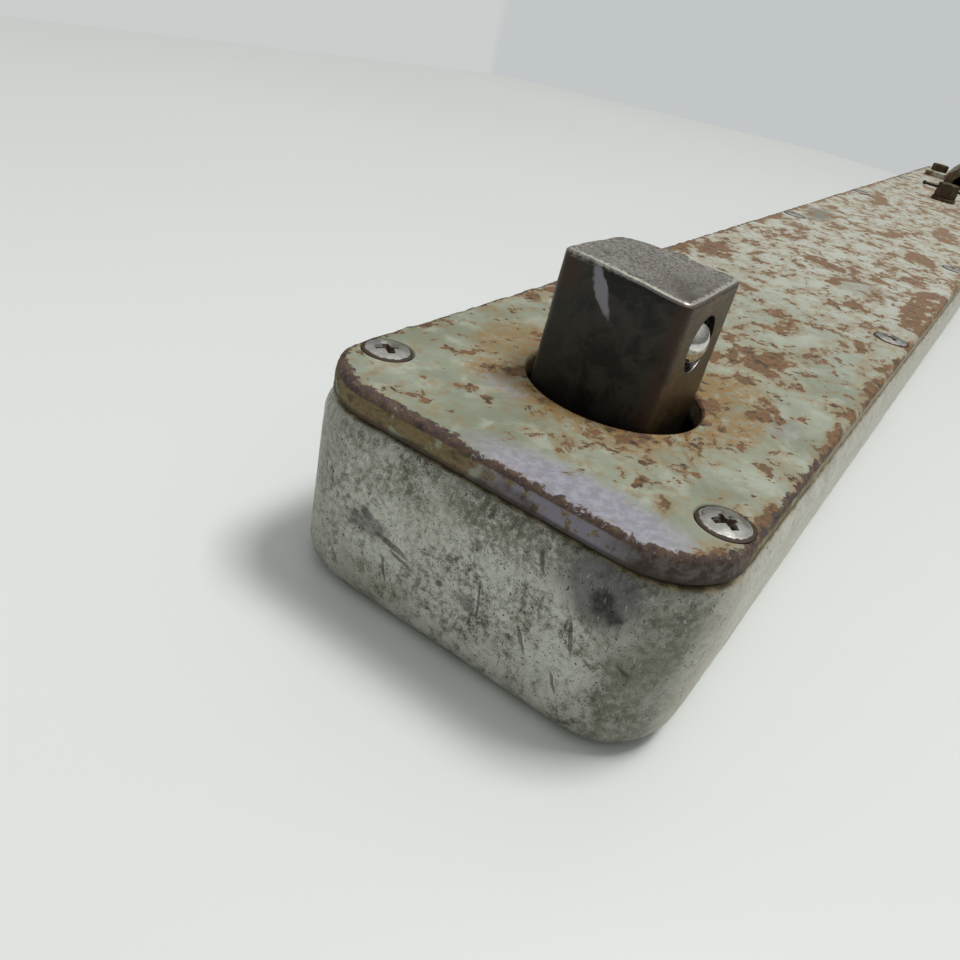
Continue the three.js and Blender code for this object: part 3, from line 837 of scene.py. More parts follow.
def makeGlass():
    material, shader, space = newMaterial("dialGlass")
    smear = noiseOf(space, 0.3, 4.0, 0.6)
    plug(shader.inputs["Base Color"], mixColour(smear, srgb(236, 240, 238), srgb(250, 252, 250)))
    plug(shader.inputs["Roughness"], scaled(smear, 0.1, 0.02))
    shader.inputs["Metallic"].default_value = 0.0
    shader.inputs["Transmission Weight"].default_value = 1.0
    shader.inputs["IOR"].default_value = 1.49
    return material


platePaint = makePlatePaint()
castAluminium = makeCastAluminium()
driveSteel = makeDriveSteel()
screwMetal = makeScrewMetal()
chrome = makeMetal("chromeBall", srgb(232, 230, 226), srgb(206, 204, 198), 1.0, 0.13, 1.2, 0, 0.01)
darkSteel = makeMetal("darkSteel", srgb(72, 70, 66), srgb(40, 38, 36), 0.85, 0.42, 1.2, 0.3)
rustySteel = makeMetal("rustySteel", srgb(80, 70, 52), srgb(48, 42, 32), 0.45, 0.6, 0.9, 0.52, 0.16)
tubeSteel = makeMetal("tubeSteel", srgb(118, 104, 82), srgb(70, 58, 42), 0.45, 0.5, 0.7, 0.46, 0.14)
brassMetal = makeMetal("dialBrass", srgb(196, 164, 98), srgb(140, 110, 60), 0.95, 0.34, 1.4, 0, 0.03)
brightSteel = makeMetal("brightSteel", srgb(190, 190, 186), srgb(140, 140, 136), 0.95, 0.34, 1.4, 0.08, 0.03)
# the gasket's own dark colour, made near black as painted shade of the groove it sits in
gasketShade = makeMetal("gasketCorkInShade", srgb(40, 32, 24), srgb(20, 16, 13), 0.0, 0.9, 1.1, 0, 0.2)
gripRubber = makeMetal("gripRubber", srgb(44, 44, 44), srgb(26, 26, 27), 0.0, 0.72, 2.2, 0, 0.1)
blackEnamel = makeMetal("blackEnamel", srgb(30, 30, 30), srgb(18, 18, 18), 0.0, 0.4, 1.0, 0, 0.02)
redEnamel = makeMetal("redEnamel", srgb(172, 34, 26), srgb(130, 24, 20), 0.0, 0.42, 1.0, 0, 0.02)
dialEnamel = makeMetal("dialEnamel", srgb(226, 222, 208), srgb(206, 200, 182), 0.0, 0.5, 0.5, 0, 0.01)
dialGlass = makeGlass()
print("materials made")


# mesh helpers
def newPiece(name, bm, material, body, replaced=(), smoothBelow=35, flatOver=None):
    # bm is a BMesh or a plain mesh
    mesh = bpy.data.meshes.new(name)
    if isinstance(bm, bmesh.types.BMesh):
        bm.to_mesh(mesh)
        bm.free()
    else:
        mesh = bm
        mesh.name = name
    mesh.materials.clear()
    mesh.materials.append(material)
    mesh.shade_smooth()
    mesh.set_sharp_from_angle(angle=math.radians(smoothBelow))
    if flatOver:
        for polygon in mesh.polygons:
            if polygon.area > flatOver * mm * mm:
                polygon.use_smooth = False
    piece = bpy.data.objects.new(name, mesh)
    bpy.context.scene.collection.objects.link(piece)
    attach(piece, body)
    if replaced:
        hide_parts(*replaced)
    return piece


def addLoft(bm, rings):
    made = [[bm.verts.new(p) for p in ring] for ring in rings]
    for lower, upper in zip(made, made[1:]):
        count = len(lower)
        for i in range(count):
            j = (i + 1) % count
            bm.faces.new((lower[i], lower[j], upper[j], upper[i]))
    bm.faces.new(list(reversed(made[0])))
    bm.faces.new(made[-1])


def addLathe(bm, profile, centre=(0, 0), segments=48):
    # profile of (radius, z) in tool space, from one end of the axis to the other
    rings = []
    for radius, z in profile:
        turns = circle(segments) if radius > 1e-6 else [0]
        places = [(centre[0] + radius * math.cos(a), centre[1] + radius * math.sin(a), z) for a in turns]
        rings.append([bm.verts.new(atTool(*place)) for place in places])
    for lower, upper in zip(rings, rings[1:]):
        for i in range(segments):
            j = (i + 1) % segments
            corners = []
            for ring, index in ((lower, i), (lower, j), (upper, j), (upper, i)):
                corner = ring[index % len(ring)]
                if corner not in corners:
                    corners.append(corner)
            if len(corners) > 2:
                bm.faces.new(corners)


def latheMesh(profile, centre=(0, 0), segments=48, loop=False):
    bm = bmesh.new()
    addLathe(bm, profile + profile[:1] if loop else profile, centre, segments)
    if loop:
        bmesh.ops.remove_doubles(bm, verts=bm.verts, dist=1e-7)
    bmesh.ops.recalc_face_normals(bm, faces=bm.faces)
    return bm


def roundedOutline(x0, x1, halfWidth, radius, step=4.0, cornerSteps=12):
    # anticlockwise points of a rectangle with round corners, in tool space
    points = []
    corners = [
        (x1 - radius, halfWidth - radius),
        (x0 + radius, halfWidth - radius),
        (x0 + radius, radius - halfWidth),
        (x1 - radius, radius - halfWidth),
    ]
    for quarter, (cx, cy) in enumerate(corners):
        arc = []
        for i in range(cornerSteps + 1):
            a = (quarter + i / cornerSteps) * math.pi / 2
            arc.append(Vector((cx + radius * math.cos(a), cy + radius * math.sin(a))))
        if points:
            gapSteps = max(1, int((arc[0] - points[-1]).length / step))
            points += [points[-1].lerp(arc[0], i / gapSteps) for i in range(1, gapSteps)]
        points += arc
    gapSteps = max(1, int((points[0] - points[-1]).length / step))
    last = points[-1]
    points += [last.lerp(points[0], i / gapSteps) for i in range(1, gapSteps)]
    return points


def outwardOf(points):
    count = len(points)
    result = []
    for i in range(count):
        along = (points[(i + 1) % count] - points[i - 1]).normalized()
        result.append(Vector((along.y, -along.x)))
    return result


def tempObject(bm):
    mesh = bpy.data.meshes.new("temp")
    bmesh.ops.recalc_face_normals(bm, faces=bm.faces)
    bm.to_mesh(mesh)
    bm.free()
    made = bpy.data.objects.new("temp", mesh)
    bpy.context.scene.collection.objects.link(made)
    return made


def booleanMesh(base, tool, operation):
    # base and tool are temporary objects; the result is a plain mesh
    modifier = base.modifiers.new("cut", "BOOLEAN")
    modifier.object = tool
    modifier.operation = operation
    modifier.solver = "EXACT"
    graph = bpy.context.evaluated_depsgraph_get()
    mesh = bpy.data.meshes.new_from_object(base.evaluated_get(graph))
    for used in (base, tool):
        bpy.data.objects.remove(used)
    return mesh


def copyOfCad(name):
    bm = bmesh.new()
    bm.from_mesh(nodes[name].data)
    bmesh.ops.remove_doubles(bm, verts=bm.verts, dist=1e-6)
    return bm


def bumpiness(point, scale, seed=0.0):
    # smooth unevenness between about -1 and 1
    return noise.noise(Vector(point) * scale + Vector((seed, seed * 0.7, seed * 1.3)))


# cover plate
plateValues = {
    "chamferDepth": 1.0,
    "chamferWear": 0.7,
    "sideWear": 0.25,
    "holeRadius": 17.5,
    "screwHole": 5.1,
    "screwShankHole": 2.7,
    "clampHole": 3.6,
    "anchorHole": 4.6,
    "tubeGap": 13.7,
    "outlineStep": 1.5,
}


def makeCoverPlate():
    v = plateValues
    x0 = toTool(plateLow).x
    x1 = toTool(plateHigh).x
    halfWidth = plateHigh.y / mm
    thickness = (plateHigh.z - plateLow.z) / mm
    outline = roundedOutline(x0, x1, halfWidth, paintValues["cornerRadius"], v["outlineStep"], 22)
    outward = outwardOf(outline)
    # (how far in, as shares of the local wear; height below the face)
    section = [
        (0, -thickness), (0, -thickness * 0.75), (0, -thickness * 0.5), (0.02, -1.5), (0.12, -1.05),
        (0.32, -0.66), (0.6, -0.34), (0.85, -0.13), (1.15, -0.03), (1.5, 0),
    ]
    rings = []
    for share, z in section:
        ring = []
        for point, out in zip(outline, outward):
            where = (point.x, point.y, 0)
            wear = v["chamferDepth"] + v["chamferWear"] * (bumpiness(where, 0.16) + 0.6 * bumpiness(where, 0.6, 5))
            dent = v["sideWear"] * max(0, bumpiness((point.x, point.y, z * 2), 0.4, 9)) if z < -1 else 0
            inward = share * max(0.45, wear) + dent
            moved = point - out * inward
            low = max(0, bumpiness(where, 0.5, 3)) * 0.18 if -1 < z < 0 else 0
            ring.append(atTool(moved.x, moved.y, z - low))
        rings.append(ring)
    bm = bmesh.new()
    addLoft(bm, rings)
    base = tempObject(bm)

    cutter = bmesh.new()
    over = 2.0
    under = -thickness - 2
    r = v["holeRadius"]
    addLathe(
        cutter,
        [(0, under), (r, under), (r, -0.7), (r + 0.18, -0.3), (r + 0.55, 0.0), (r + 0.55, over), (0, over)],
        (driveX, 0),
        112,
    )
    for name in nodes:
        if name.startswith("cover_screw"):
            at = toTool(centreOf(name))
            shank, hole = v["screwShankHole"], v["screwHole"]
            profile = [
                (0, under), (shank, under), (shank, -2.9), (hole - 0.1, -0.25), (hole + 0.1, 0.02),
                (hole + 0.1, over), (0, over),
            ]
            addLathe(cutter, profile, (at.x, at.y), 40)
        if name.startswith("clamp_bolt"):
            at = toTool(centreOf(name))
            addLathe(cutter, [(0, under), (v["clampHole"], under), (v["clampHole"], over), (0, over)], (at.x, at.y), 24)
    at = toTool(centreOf("anchor_washer"))
    addLathe(cutter, [(0, under), (v["anchorHole"], under), (v["anchorHole"], over), (0, over)], (at.x, at.y), 32)
    tube = toTool(centreOf("handle_tube"))
    tubeLow = toolBox("handle_tube")[0]
    radius = v["tubeGap"]
    rings = []
    for x in (tubeLow.x - 1.5, x1 + 5):
        rings.append([atTool(x, radius * math.cos(a), tube.z + radius * math.sin(a)) for a in circle(64)])
    addLoft(cutter, rings)
    mesh = booleanMesh(base, tempObject(cutter), "DIFFERENCE")
    newPiece("coverPlate", mesh, platePaint, "frame", ["cover_plate"], 40, 30)


makeCoverPlate()
print("cover plate made")

# housing
housingValues = {
    "cornerRadius": 15.5,
    "bottomRadius": 5.0,
    "flankIn": 0.45,
    "rimIn": 1.35,
    "castRoughness": 0.16,
    "dents": 0.35,
    "flankLean": 2.4,
    "leanHeight": 17,
}


def makeHousing():
    v = housingValues
    x0, x1 = 0.0, (housingHigh.x - housingLow.x) / mm
    halfWidth = housingHigh.y / mm
    bottom = (housingLow.z - plateHigh.z) / mm
    top = (housingHigh.z - plateHigh.z) / mm
    outline = roundedOutline(x0, x1, halfWidth, v["cornerRadius"], 2.6, 18)
    outward = outwardOf(outline)
    r = v["bottomRadius"]
    section = []
    for i in range(9):
        a = math.pi / 2 * i / 8
        section.append((v["flankIn"] + r * (1 - math.sin(a)), bottom + 0.02 + r * (1 - math.cos(a))))
    flankTop = top - 4
    steps = 14
    for i in range(1, steps + 1):
        share = i / steps
        section.append((v["flankIn"] * (1 - share) + 0.06, bottom + r + (flankTop - bottom - r) * share))
    section += [
        (0.25, top - 3.0), (0.6, top - 1.9), (1.0, top - 1.0), (v["rimIn"], top - 0.45),
        (v["rimIn"] + 0.35, top - 0.14), (v["rimIn"] + 0.8, top - 0.02),
    ]
    rings = []
    for inward, z in section:
        ring = []
        for point, out in zip(outline, outward):
            where = (point.x, point.y, z)
            cast = v["castRoughness"] * (0.5 + bumpiness(where, 0.22, 2))
            dent = v["dents"] * max(0, bumpiness(where, 0.09, 7) - 0.25)
            free = 0.0 if z < bottom + 1.5 else 1.0
            # the flank on the ball's side turns in towards the bottom
            low = max(0, 1 - (z - bottom) / v["leanHeight"])
            lean = v["flankLean"] * max(0, -out.y) ** 2 * low * low
            moved = point - out * (inward + lean + free * max(0, cast + dent))
            ring.append(atTool(moved.x, moved.y, z))
        rings.append(ring)
    bm = bmesh.new()
    addLoft(bm, rings)
    mesh = booleanMesh(tempObject(bm), tempObject(copyOfCad("housing")), "INTERSECT")
    newPiece("housingShell", mesh, castAluminium, "frame", ["housing"], 38, 60)


makeHousing()
print("housing made")

# square drive
driveShape = {
    "saddle": 0.9,
    "edgeRound": 1.1,
    "wear": 0.12,
    "detentHeight": 14.3,
    "mouthRadius": 5.5,
    "lipRadius": 4.5,
    "boreRadius": 4.95,
    "boreDepth": 16,
    "foot": -8.6,
    "footSteps": 26,
    "dishFrom": 16,
    "collarTop": 33.0,
    "collarSize": 60.0,
}


def makeDrive():
    v, s = driveValues, driveShape
    half = v["square"] / 2
    outline = roundedOutline(driveX - half, driveX + half, half, v["corner"], 1.0, 6)
    outward = outwardOf(outline)

    def topDrop(x, y):
        # the end face is dished: high at the far left corner, low towards the right
        u, w = (x - driveX) / half, y / half
        knocked = 1.6 * max(0, u + w - 1.35) ** 2
        wave = 0.35 * max(0, bumpiness((x, y, 0), 0.16, 12))
        return s["saddle"] * max(0, 0.55 + 0.45 * u * w - 0.5 * w + 0.2 * (1 - u * u)) + knocked + wave

    top = v["proud"] - 0.01
    foot, dishFrom = s["foot"], s["dishFrom"]
    levels = [foot + i * (v["proud"] - s["edgeRound"] - foot) / s["footSteps"] for i in range(s["footSteps"] + 1)]
    rings = []
    for z in levels:
        ring = []
        for point, out in zip(outline, outward):
            worn = s["wear"] * max(0, bumpiness((point.x, point.y, z), 0.3, 4) + 0.2)
            moved = point - out * worn
            drop = topDrop(point.x, point.y) * max(0, (z - dishFrom) / (v["proud"] - dishFrom))
            ring.append(atTool(moved.x, moved.y, z - drop))
        rings.append(ring)
    for share in (0.3, 0.6, 0.85, 1.0, 1.25):
        a = min(1, share) * math.pi / 2
        inward = s["edgeRound"] * (1 - math.cos(a)) + max(0, share - 1) * 2.5
        z = top - s["edgeRound"] * (1 - math.sin(a))
        rings.append(
            [atTool(p.x - o.x * inward, p.y - o.y * inward, z - topDrop(p.x, p.y)) for p, o in zip(outline, outward)]
        )
    centre = Vector((driveX, 0))
    for shrink in (0.8, 0.62, 0.44, 0.26, 0.1):
        ring = []
        for p in outline:
            q = centre.lerp(p, shrink)
            ripple = 0.1 * bumpiness((q.x, q.y, 0), 0.25, 1)
            ring.append(atTool(q.x, q.y, top - topDrop(q.x, q.y) - abs(ripple)))
        rings.append(ring)
    bm = bmesh.new()
    addLoft(bm, rings)
    base = tempObject(bm)

    cutter = bmesh.new()
    profile = [
        (0, -1.5), (s["mouthRadius"] + 0.5, -1.5), (s["mouthRadius"], 0.15), (s["mouthRadius"] - 0.1, 1.0),
        (s["lipRadius"], 1.0), (s["lipRadius"], 1.7), (s["boreRadius"], 1.8), (s["boreRadius"], s["boreDepth"]),
        (0, s["boreDepth"]),
    ]
    rings = []
    for radius, depth in profile:
        radius = max(radius, 0.01)
        rings.append(
            [
                atTool(driveX + radius * math.cos(a), -half + depth, s["detentHeight"] + radius * math.sin(a))
                for a in circle(48)
            ]
        )
    addLoft(cutter, rings)
    mesh = booleanMesh(base, tempObject(cutter), "DIFFERENCE")
    kind = mesh.attributes.new("faceKind", "FLOAT_VECTOR", "FACE")
    for i, polygon in enumerate(mesh.polygons):
        ground = max(0, min(1, (-polygon.normal.y - 0.75) * 8))
        top = max(0, min(1, (polygon.normal.z - 0.6) * 5))
        kind.data[i].vector = (ground, top, 0)
    newPiece("squareDrive", mesh, driveSteel, "drive", ["square_drive"], 40)

    # the collar and journal below the cover
    box = bmesh.new()
    bmesh.ops.create_cube(box, size=1)
    collarTop, wide = s["collarTop"] * mm, s["collarSize"] * mm
    for vert in box.verts:
        x, y, z = vert.co
        height = collarTop * (z + 0.5) - (0.1 if z > 0 else 10) * mm
        vert.co = Vector((centreOf("lower_bush").x + x * wide, y * wide, height))
    collar = booleanMesh(tempObject(copyOfCad("square_drive")), tempObject(box), "INTERSECT")
    newPiece("driveCollar", collar, darkSteel, "drive", [], 30)


makeDrive()


def makeBall():
    centre = toTool(centreOf("detent_ball"))
    low, high = toolBox("detent_ball")
    radius = (high.z - low.z) / 2
    bm = bmesh.new()
    bmesh.ops.create_uvsphere(bm, u_segments=48, v_segments=32, radius=radius * mm)
    bmesh.ops.rotate(bm, verts=bm.verts, matrix=Matrix.Rotation(math.pi / 2, 3, "X"))
    # a small flat worn on the outermost point
    for vert in bm.verts:
        vert.co.y = max(vert.co.y, -(radius - 0.06) * mm)
        vert.co += atTool(*centre)
    newPiece("detentBall", bm, chrome, "ball", ["detent_ball"], 60)


makeBall()
print("drive made")


# screws, with Geometry Nodes
screwValues = {
    "headRadius": 4.8, "dome": 0.85, "turnSeed": 11, "crossWidth": 1.5, "crossReach": 2.75, "crossDepth": 2.0
}


def screwMaster():
    v = screwValues
    r, dome = v["headRadius"], v["dome"]
    bm = bmesh.new()
    profile = [(0, -15), (1.6, -15), (2.1, -14.2)]
    for i in range(9):
        profile += [(2.25, -13.6 + i * 1.1), (1.85, -13.1 + i * 1.1)]
    profile += [(2.3, -3.2), (r - 0.12, -0.45), (r, -0.3), (r, -0.05)]
    for i in range(1, 8):
        share = i / 7
        profile.append((r * (1 - share), dome * (1 - (1 - share) ** 2) - 0.05))
    addLathe(bm, profile, (0, 0), 48)
    for vert in bm.verts:
        vert.co -= toolOrigin
    base = tempObject(bm)
    cross = bmesh.new()
    w, reach, deep = v["crossWidth"] / 2, v["crossReach"], v["crossDepth"]
    plan = [
        (w, reach), (-w, reach), (-w * 1.25, w * 1.25), (-reach, w), (-reach, -w), (-w * 1.25, -w * 1.25),
        (-w, -reach), (w, -reach), (w * 1.25, -w * 1.25), (reach, -w), (reach, w), (w * 1.25, w * 1.25),
    ]
    rings = []
    for z, size in ((dome + 0.6, 1.12), (dome, 1.0), (dome - deep * 0.6, 0.72), (dome - deep, 0.3)):
        rings.append([Vector((x * size, y * size, z)) * mm for x, y in plan])
    addLoft(cross, rings)
    mesh = booleanMesh(base, tempObject(cross), "DIFFERENCE")
    mesh.shade_smooth()
    mesh.set_sharp_from_angle(angle=math.radians(35))
    master = bpy.data.objects.new("screwMaster", mesh)
    bpy.context.scene.collection.objects.link(master)
    return master


def startTree(name, inputs):
    tree = bpy.data.node_groups.new(name, "GeometryNodeTree")
    for label, kind in [("Geometry", "Geometry"), *inputs]:
        tree.interface.new_socket(name=label, in_out="INPUT", socket_type="NodeSocket" + kind)
    tree.interface.new_socket(name="Geometry", in_out="OUTPUT", socket_type="NodeSocketGeometry")
    return tree, tree.nodes.new("NodeGroupInput").outputs


def endTree(tree, points, copy, spin, material):
    # one copy on each point, made solid and given its material
    places = {"Points": points.outputs[0], "Instance": copy, "Rotation": spin.outputs[0]}
    copies = addNode(tree, "GeometryNodeInstanceOnPoints", places)
    solid = addNode(tree, "GeometryNodeRealizeInstances", {0: copies.outputs[0]})
    painted = addNode(tree, "GeometryNodeSetMaterial", {"Geometry": solid.outputs[0], "Material": material})
    tree.links.new(painted.outputs[0], tree.nodes.new("NodeGroupOutput").inputs[0])
    return tree


def makePlacer():
    # puts a copy of one object on every point, each with its own turn about Z
    inputs = [("Copy", "Object"), ("Turn Range", "Float"), ("Seed", "Int"), ("Material", "Material")]
    tree, start = startTree("placeCopies", inputs)
    info = addNode(tree, "GeometryNodeObjectInfo", {"Object": start["Copy"]})
    turn = addNode(tree, "FunctionNodeRandomValue", {}, data_type="FLOAT")
    tree.links.new(start["Turn Range"], turn.inputs[3])
    tree.links.new(start["Seed"], turn.inputs["Seed"])
    spin = addNode(tree, "ShaderNodeCombineXYZ", {2: turn.outputs[1]})
    points = addNode(tree, "GeometryNodeMeshToPoints", {"Mesh": start["Geometry"]})
    return endTree(tree, points, info.outputs["Geometry"], spin, start["Material"])


placer = makePlacer()


def treeMesh(holder, tree, inputs):
    # a plain mesh from a Geometry Nodes tree with these named inputs
    bpy.context.scene.collection.objects.link(holder)
    modifier = holder.modifiers.new("nodes", "NODES")
    modifier.node_group = tree
    for item in tree.interface.items_tree:
        if item.in_out == "INPUT" and item.name in inputs:
            modifier[item.identifier] = inputs[item.name]
    graph = bpy.context.evaluated_depsgraph_get()
    mesh = bpy.data.meshes.new_from_object(holder.evaluated_get(graph))
    bpy.data.objects.remove(holder)
    return mesh


def placeCopies(name, master, places, turnRange, seed, material, body, replaced):
    mesh = bpy.data.meshes.new("places")
    mesh.from_pydata([tuple(p) for p in places], [], [])
    holder = bpy.data.objects.new("places", mesh)
    inputs = {"Copy": master, "Turn Range": turnRange, "Seed": seed, "Material": material}
    made = treeMesh(holder, placer, inputs)
    bpy.data.objects.remove(master)
    newPiece(name, made, material, body, replaced)


screwNames = sorted(n for n in nodes if n.startswith("cover_screw"))
screwPlaces = [Vector((*centreOf(name).xy, plateHigh.z)) for name in screwNames]
placeCopies(
    "coverScrews", screwMaster(), screwPlaces, 1.5, screwValues["turnSeed"], screwMetal, "frame", screwNames,
)
print("screws made")

# hexagon bolts
boltValues = {"acrossFlats": 10, "headHeight": 4.6, "shank": 3.2, "anchorAcrossFlats": 11}


def boltMaster(acrossFlats, headHeight, shankRadius, length, hole=None):
    # origin under the head, shank downwards
    bm = bmesh.new()
    corner = acrossFlats / math.sqrt(3)
    segments = 48
    rings = []
    for radiusShare, z in ((0.97, 0.0), (1.0, 0.35), (1.0, headHeight), (0.8, headHeight + 0.001)):
        ring = []
        for a in circle(segments):
            fold = (a + math.pi / 6) % (math.pi / 3) - math.pi / 6
            flat = acrossFlats / 2 / math.cos(fold)
            rounded = flat * radiusShare
            # a turned chamfer takes the corners off the top
            z2 = z if z < headHeight - 0.1 else headHeight - max(0, (flat - acrossFlats / 2) * 0.75)
            if z > headHeight:
                rounded = acrossFlats / 2 * 0.95
                z2 = headHeight
            ring.append(Vector((rounded * math.cos(a), rounded * math.sin(a), z2)) * mm)
        rings.append(ring)

    def ringAt(r, z):
        return [Vector((r * math.cos(a), r * math.sin(a), z)) * mm for a in circle(segments)]

    rings.append(ringAt(corner * 0.35, headHeight - 0.12))
    shank = [(-length, shankRadius - 0.5), (-length + 0.6, shankRadius), (-0.4, shankRadius), (0.0, shankRadius)]
    addLoft(bm, [ringAt(r, z) for z, r in shank] + rings)
    base = tempObject(bm)
    if hole:
        cutter = bmesh.new()
        radius, height = hole
        ends = []
        for y in (-20, 20):
            ends.append([Vector((radius * math.cos(a), y, height + radius * math.sin(a))) * mm for a in circle(24)])
        addLoft(cutter, ends)
        mesh = booleanMesh(base, tempObject(cutter), "DIFFERENCE")
        base = bpy.data.objects.new("boltMaster", mesh)
        bpy.context.scene.collection.objects.link(base)
    return base


clampNames = sorted(n for n in nodes if n.startswith("clamp_bolt"))
underHead = boltValues["headHeight"] * mm
clampPlaces = [Vector((*centreOf(name).xy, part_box(name)[1][2] - underHead)) for name in clampNames]
hexMaster = boltMaster(boltValues["acrossFlats"], boltValues["headHeight"], boltValues["shank"], 20)
placeCopies("clampBolts", hexMaster, clampPlaces, 0.0, 1, rustySteel, "frame", clampNames)

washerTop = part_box("anchor_washer")[1][2]
lift = 0.2  # the worn washer stands a little proud
anchorHead = (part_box("anchor_bolt_outer")[1][2] - washerTop) / mm - lift
pinHeight = (centreOf("locking_pin").z - washerTop) / mm - lift
anchorMaster = boltMaster(boltValues["anchorAcrossFlats"], anchorHead, 3.7, 30, (1.2, pinHeight))
anchorAt = [Vector((centreOf("anchor_washer").x, 0, washerTop + lift * mm))]
placeCopies(
    "anchorBolt", anchorMaster, anchorAt, 0.0, 1, rustySteel, "frame", ["anchor_bolt_outer"]
)


def makeLockingPin():
    # a wire through the bolt's head, with a ball on one end
    low, high = toolBox("locking_pin")
    middle = (low + high) / 2
    wire = 0.85
    ball = (high.z - low.z) / 2
    centre = high.y - ball
    profile = [(low.y, wire - 0.3), (low.y + 0.1, wire - 0.1), (low.y + 0.3, wire)]
    first = -math.acos(wire / ball)
    for i in range(11):
        a = first + (math.pi / 2 - 0.12 - first) * i / 10
        profile.append((centre + ball * math.sin(a), ball * math.cos(a)))
    rings = []
    for y, r in profile:
        rings.append([atTool(middle.x + r * math.sin(a), y, middle.z + r * math.cos(a)) for a in circle(24)])
    bm = bmesh.new()
    addLoft(bm, rings)
    bmesh.ops.recalc_face_normals(bm, faces=bm.faces)
    newPiece("lockingPin", bm, darkSteel, "frame", ["locking_pin"], 50)


makeLockingPin()
print("bolts made")

# handle
handleValues = {"bore": 8.0, "gripFit": 0.3, "grooves": 22, "grooveDepth": 0.5, "capRound": 4}


def tubeAlong(profile, segments=72):
    # closed profile of (radius, x) turned about the handle's axis
    height = toTool(centreOf("handle_tube")).z
    bm = bmesh.new()
    rings = []
    for radius, x in profile + profile[:1]:
        places = [(x, radius * math.cos(a), height + radius * math.sin(a)) for a in circle(segments)]
        rings.append([bm.verts.new(atTool(*place)) for place in places])
    for lower, upper in zip(rings, rings[1:]):
        for i in range(segments):
            j = (i + 1) % segments
            bm.faces.new((lower[i], lower[j], upper[j], upper[i]))
    bmesh.ops.remove_doubles(bm, verts=bm.verts, dist=1e-7)
    bmesh.ops.recalc_face_normals(bm, faces=bm.faces)
    return bm


def makeHandle():
    low, high = toolBox("handle_tube")
    v = handleValues
    r, bore = (high.y - low.y) / 2, v["bore"]
    profile = [(bore + 0.4, low.x), (r - 0.7, low.x), (r - 0.2, low.x + 0.25), (r, low.x + 0.8)]
    profile += [(r, low.x + (high.x - low.x) * i / 12) for i in range(1, 13)]
    profile += [(bore, high.x), (bore, low.x + 0.5)]
    newPiece("handleTube", tubeAlong(profile), tubeSteel, "frame", ["handle_tube"])

    low, high = toolBox("handle_grip")
    outer = (high.y - low.y) / 2
    inner = r + v["gripFit"]
    profile = [(inner, low.x), (outer - 1.2, low.x), (outer - 0.3, low.x + 0.5), (outer, low.x + 1.6)]
    pitch = (high.x - low.x - 8) / v["grooves"]
    deep = v["grooveDepth"]
    for i in range(v["grooves"]):
        x = low.x + 4 + i * pitch
        profile += [
            (outer, x), (outer - deep, x + pitch * 0.18), (outer - deep, x + pitch * 0.3), (outer, x + pitch * 0.48)
        ]
    profile += [(outer, high.x - 1.6), (outer - 0.3, high.x - 0.5), (outer - 1.2, high.x), (inner, high.x)]
    newPiece("handleGrip", tubeAlong(profile), gripRubber, "frame", ["handle_grip"], 50)

    low, high = toolBox("handle_cap")
    outer = (high.y - low.y) / 2
    profile = [(0.01, low.x), (outer - 0.6, low.x), (outer, low.x + 0.6), (outer, high.x - v["capRound"])]
    for i in range(1, 7):
        a = math.pi / 2 * i / 6
        profile.append((outer - v["capRound"] * (1 - math.cos(a)), high.x - v["capRound"] * (1 - math.sin(a))))
    profile += [(outer - 7, high.x - 0.25), (3, high.x - 0.4), (0.01, high.x - 0.4)]
    newPiece("handleCap", tubeAlong(profile), gripRubber, "frame", ["handle_cap"], 50)


makeHandle()


def makeBevelled(name, node, material, body, width, segments=3, angle=30):
    bm = copyOfCad(node)
    bmesh.ops.dissolve_limit(bm, angle_limit=math.radians(1), verts=bm.verts, edges=bm.edges)
    edges = [e for e in bm.edges if len(e.link_faces) == 2 and e.calc_face_angle(0) > math.radians(angle)]
    bmesh.ops.bevel(
        bm, geom=edges, offset=width * mm, segments=segments, profile=0.5, affect="EDGES", clamp_overlap=True
    )
    newPiece(name, bm, material, body, [node], 35)


makeBevelled("handleClamp", "handle_clamp", platePaint, "frame", 0.5)
makeBevelled("anchorWasher", "anchor_washer", rustySteel, "frame", 0.3)
print("handle made")

# dial on the underside
dialValues = {
    "minorStep": 6,
    "majorStep": 30,
    "reach": 120,
    "tickRadius": 22.4,
    "numberRadius": 17.6,
    "numberSize": 3.4,
    "perMajor": 200,
    "knurls": 20,
}


def makeTickTree():
    # short bars set round a centre, the first at Start and each one Step further round
    numbers = [(label, "Float") for label in ("Radius", "Start", "Step")]
    inputs = [("Count", "Int"), *numbers, ("Size", "Vector"), ("Centre", "Vector"), ("Material", "Material")]
    tree, start = startTree("dialTicks", inputs)
    index = addNode(tree, "GeometryNodeInputIndex").outputs[0]
    angle = scaled(index, start["Step"], start["Start"])
    across = times(calc("SINE", angle), start["Radius"])
    along = times(calc("COSINE", angle), start["Radius"])
    place = addNode(tree, "ShaderNodeCombineXYZ", {0: across, 1: along}).outputs[0]
    points = addNode(
        tree, "GeometryNodePoints", {"Count": start["Count"], "Position": vectorCalc("ADD", place, start["Centre"])}
    )
    bar = addNode(tree, "GeometryNodeMeshCube", {"Size": start["Size"]})
    spin = addNode(tree, "ShaderNodeCombineXYZ", {2: times(angle, -1.0)})
    return endTree(tree, points, bar.outputs[0], spin, start["Material"])


def tickMesh(tree, count, step, radius, size, centre):
    holder = bpy.data.objects.new("ticks", bpy.data.meshes.new("ticks"))
    inputs = {
        "Count": count,
        "Radius": radius * mm,
        "Start": -math.radians(step) * (count - 1) / 2,
        "Step": math.radians(step),
        "Size": tuple(side * mm for side in size),
        "Centre": tuple(centre),
        "Material": blackEnamel,
    }
    return treeMesh(holder, tree, inputs)


